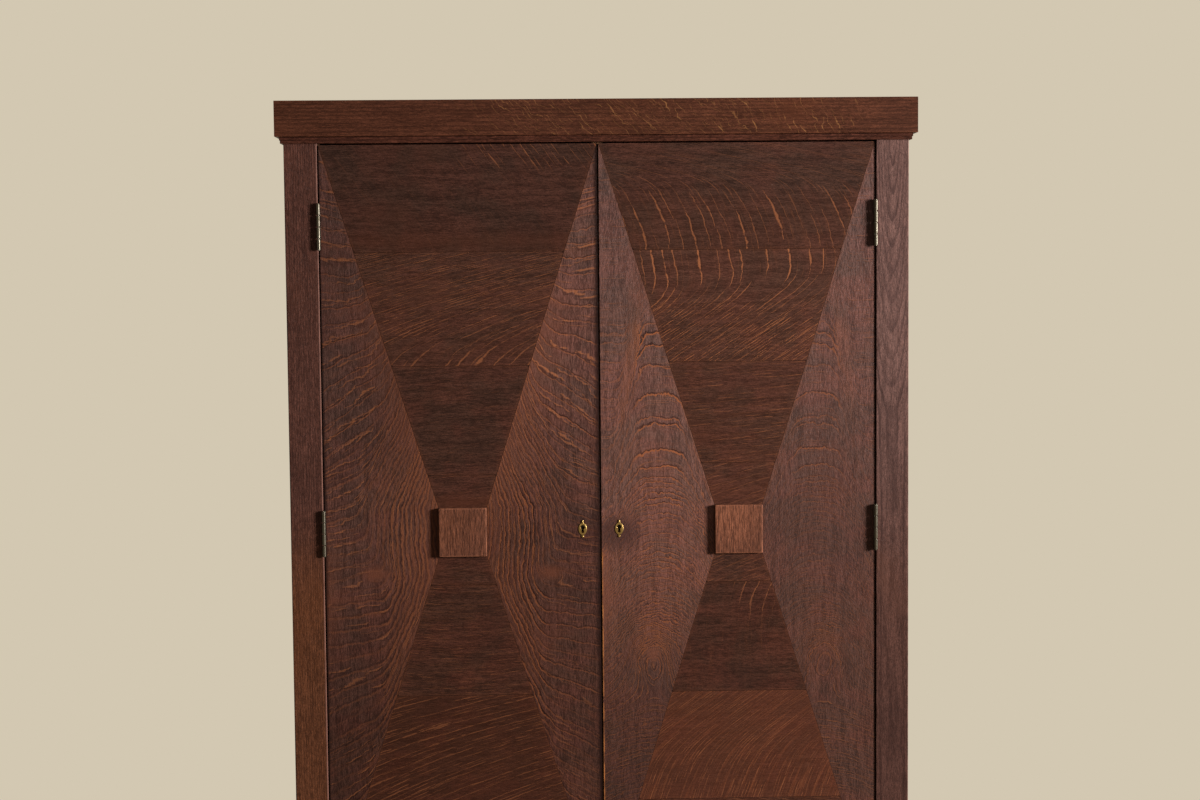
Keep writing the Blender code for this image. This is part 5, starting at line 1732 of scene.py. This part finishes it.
class CABINET_OT_stage(bpy.types.Operator):
    """Plain floor, soft light, background and camera."""

    bl_idname = "cabinet.stage"
    bl_label = "Stage"
    bl_options = {"REGISTER", "UNDO"}

    def execute(self, context):
        stage = context.scene.cabinet_stage
        self.floor(stage)
        self.world(context.scene, stage)
        for name, (place, aim, size) in LAMPS.items():
            self.area(context.scene, f"{name}_light", place, aim, size, getattr(stage, name))
        self.camera(context.scene)
        context.scene.view_settings.view_transform = "Standard"
        return {"FINISHED"}

    def floor(self, stage):
        """A round sheet at the feet: radius by angle, its outer part fading into the background."""
        radius = np.linspace(0.02, FLOOR_REACH, FLOOR_RINGS)[:, None]
        turn = np.linspace(0, 2 * math.pi, FLOOR_SIDES, endpoint=False)
        points = np.stack([radius * np.cos(turn), radius * np.sin(turn), 0 * radius * turn], axis=-1)
        faces = grid_quads(FLOOR_RINGS, FLOOR_SIDES, wrap=True).tolist() + [list(range(FLOOR_SIDES))]
        material, s, shader = new_material("floor_plain", Roughness=0.75)
        place = s.place()
        cloud = s.noise(place, (0.8, 0.8, 0.8), 2)
        s.put(s.mix(tint(stage.floor, (0.97, 0.97, 0.97)), tuple(stage.floor), cloud), shader.inputs["Base Color"])
        start, end = (FLOOR_REACH * share for share in FLOOR_FADE)
        s.put(s.span(s.away_from(place, (0, 0, 0)), start, end, 1, 0), shader.inputs["Alpha"])
        add_piece("floor", points, faces, material)

    def world(self, scene, stage):
        """Background colour for the camera, glossy and clear rays, and even light for the rest."""
        world = scene.world = bpy.data.worlds.new("studio")
        world.use_nodes = True
        world.node_tree.nodes.clear()
        s = Sheet(world.node_tree)
        path = s.node("LightPath").outputs
        seen = s.most(path["Is Camera Ray"], s.most(path["Is Glossy Ray"], path["Is Transmission Ray"]))
        shown = s.node("Background", Color=tuple(stage.background), Strength=1.0)
        even = s.node("Background", Color=(1.0, 0.97, 0.93), Strength=stage.ambient)
        both = s.filled("MixShader", (seen, even.outputs[0], shown.outputs[0]))
        s.node("OutputWorld", Surface=both.outputs[0])

    def area(self, scene, name, place, aim, size, power):
        lamp = bpy.data.lights.new(name, "AREA")
        lamp.shape = "RECTANGLE"
        lamp.size, lamp.size_y = size
        lamp.energy = power
        obj = bpy.data.objects.new(name, lamp)
        scene.collection.objects.link(obj)
        turn = (Vector(aim) - Vector(place)).to_track_quat("-Z", "Y").to_matrix().to_4x4()
        obj.matrix_world = Matrix.Translation(place) @ turn

    def camera(self, scene):
        """Looks along forward = level direction x cos(pitch) + down x sin(pitch), rolled about it."""
        lens = bpy.data.cameras.new("photo_camera")
        lens.lens = CAMERA_LENS
        lens.sensor_width = CAMERA_SENSOR
        lens.sensor_fit = "HORIZONTAL"
        right = Vector((math.cos(CAMERA_YAW), math.sin(CAMERA_YAW), 0))
        level = Vector((-math.sin(CAMERA_YAW), math.cos(CAMERA_YAW), 0))
        forward = level * math.cos(CAMERA_PITCH) + Vector((0, 0, -1)) * math.sin(CAMERA_PITCH)
        up = right.cross(forward)
        across = right * math.cos(CAMERA_ROLL) + up * math.sin(CAMERA_ROLL)
        upward = up * math.cos(CAMERA_ROLL) - right * math.sin(CAMERA_ROLL)
        turn = Matrix((across, upward, -forward)).transposed().to_4x4()
        obj = bpy.data.objects.new("photo_camera", lens)
        scene.collection.objects.link(obj)
        obj.matrix_world = Matrix.Translation(CAMERA_PLACE) @ turn
        scene.camera = obj


OPERATORS = (
    CABINET_OT_posts,
    CABINET_OT_rails,
    CABINET_OT_cornice,
    CABINET_OT_inside,
    CABINET_OT_cores,
    CABINET_OT_marquetry,
    CABINET_OT_blocks,
    CABINET_OT_hinges,
    CABINET_OT_escutcheons,
    CABINET_OT_locks,
    CABINET_OT_stage,
)


class CABINET_PT_panel(bpy.types.Panel):
    """Lists the cabinet's sizes, colours and steps."""

    bl_idname = "CABINET_PT_panel"
    bl_label = "Marquetry cabinet"
    bl_space_type = "VIEW_3D"
    bl_region_type = "UI"
    bl_category = "Cabinet"

    def draw(self, context):
        layout = self.layout
        for group in (context.scene.cabinet_sizes, context.scene.cabinet_finish, context.scene.cabinet_stage):
            box = layout.box()
            for name in group.bl_rna.properties.keys():
                if name not in {"rna_type", "name"}:
                    box.prop(group, name)
        for operator in OPERATORS:
            layout.operator(operator.bl_idname)


GROUPS = {
    "cabinet_sizes": CabinetSizes,
    "cabinet_finish": CabinetFinish,
    "cabinet_stage": CabinetStage,
}


def register():
    for kind in (*GROUPS.values(), *OPERATORS, CABINET_PT_panel):
        bpy.utils.register_class(kind)
    for name, kind in GROUPS.items():
        setattr(bpy.types.Scene, name, bpy.props.PointerProperty(type=kind))


def unregister():
    for name in GROUPS:
        delattr(bpy.types.Scene, name)
    for kind in (CABINET_PT_panel, *reversed(OPERATORS), *GROUPS.values()):
        bpy.utils.unregister_class(kind)


def main():
    register()
    for operator in OPERATORS:
        group, name = operator.bl_idname.split(".")
        getattr(getattr(bpy.ops, group), name)()


if __name__ == "__main__":
    main()
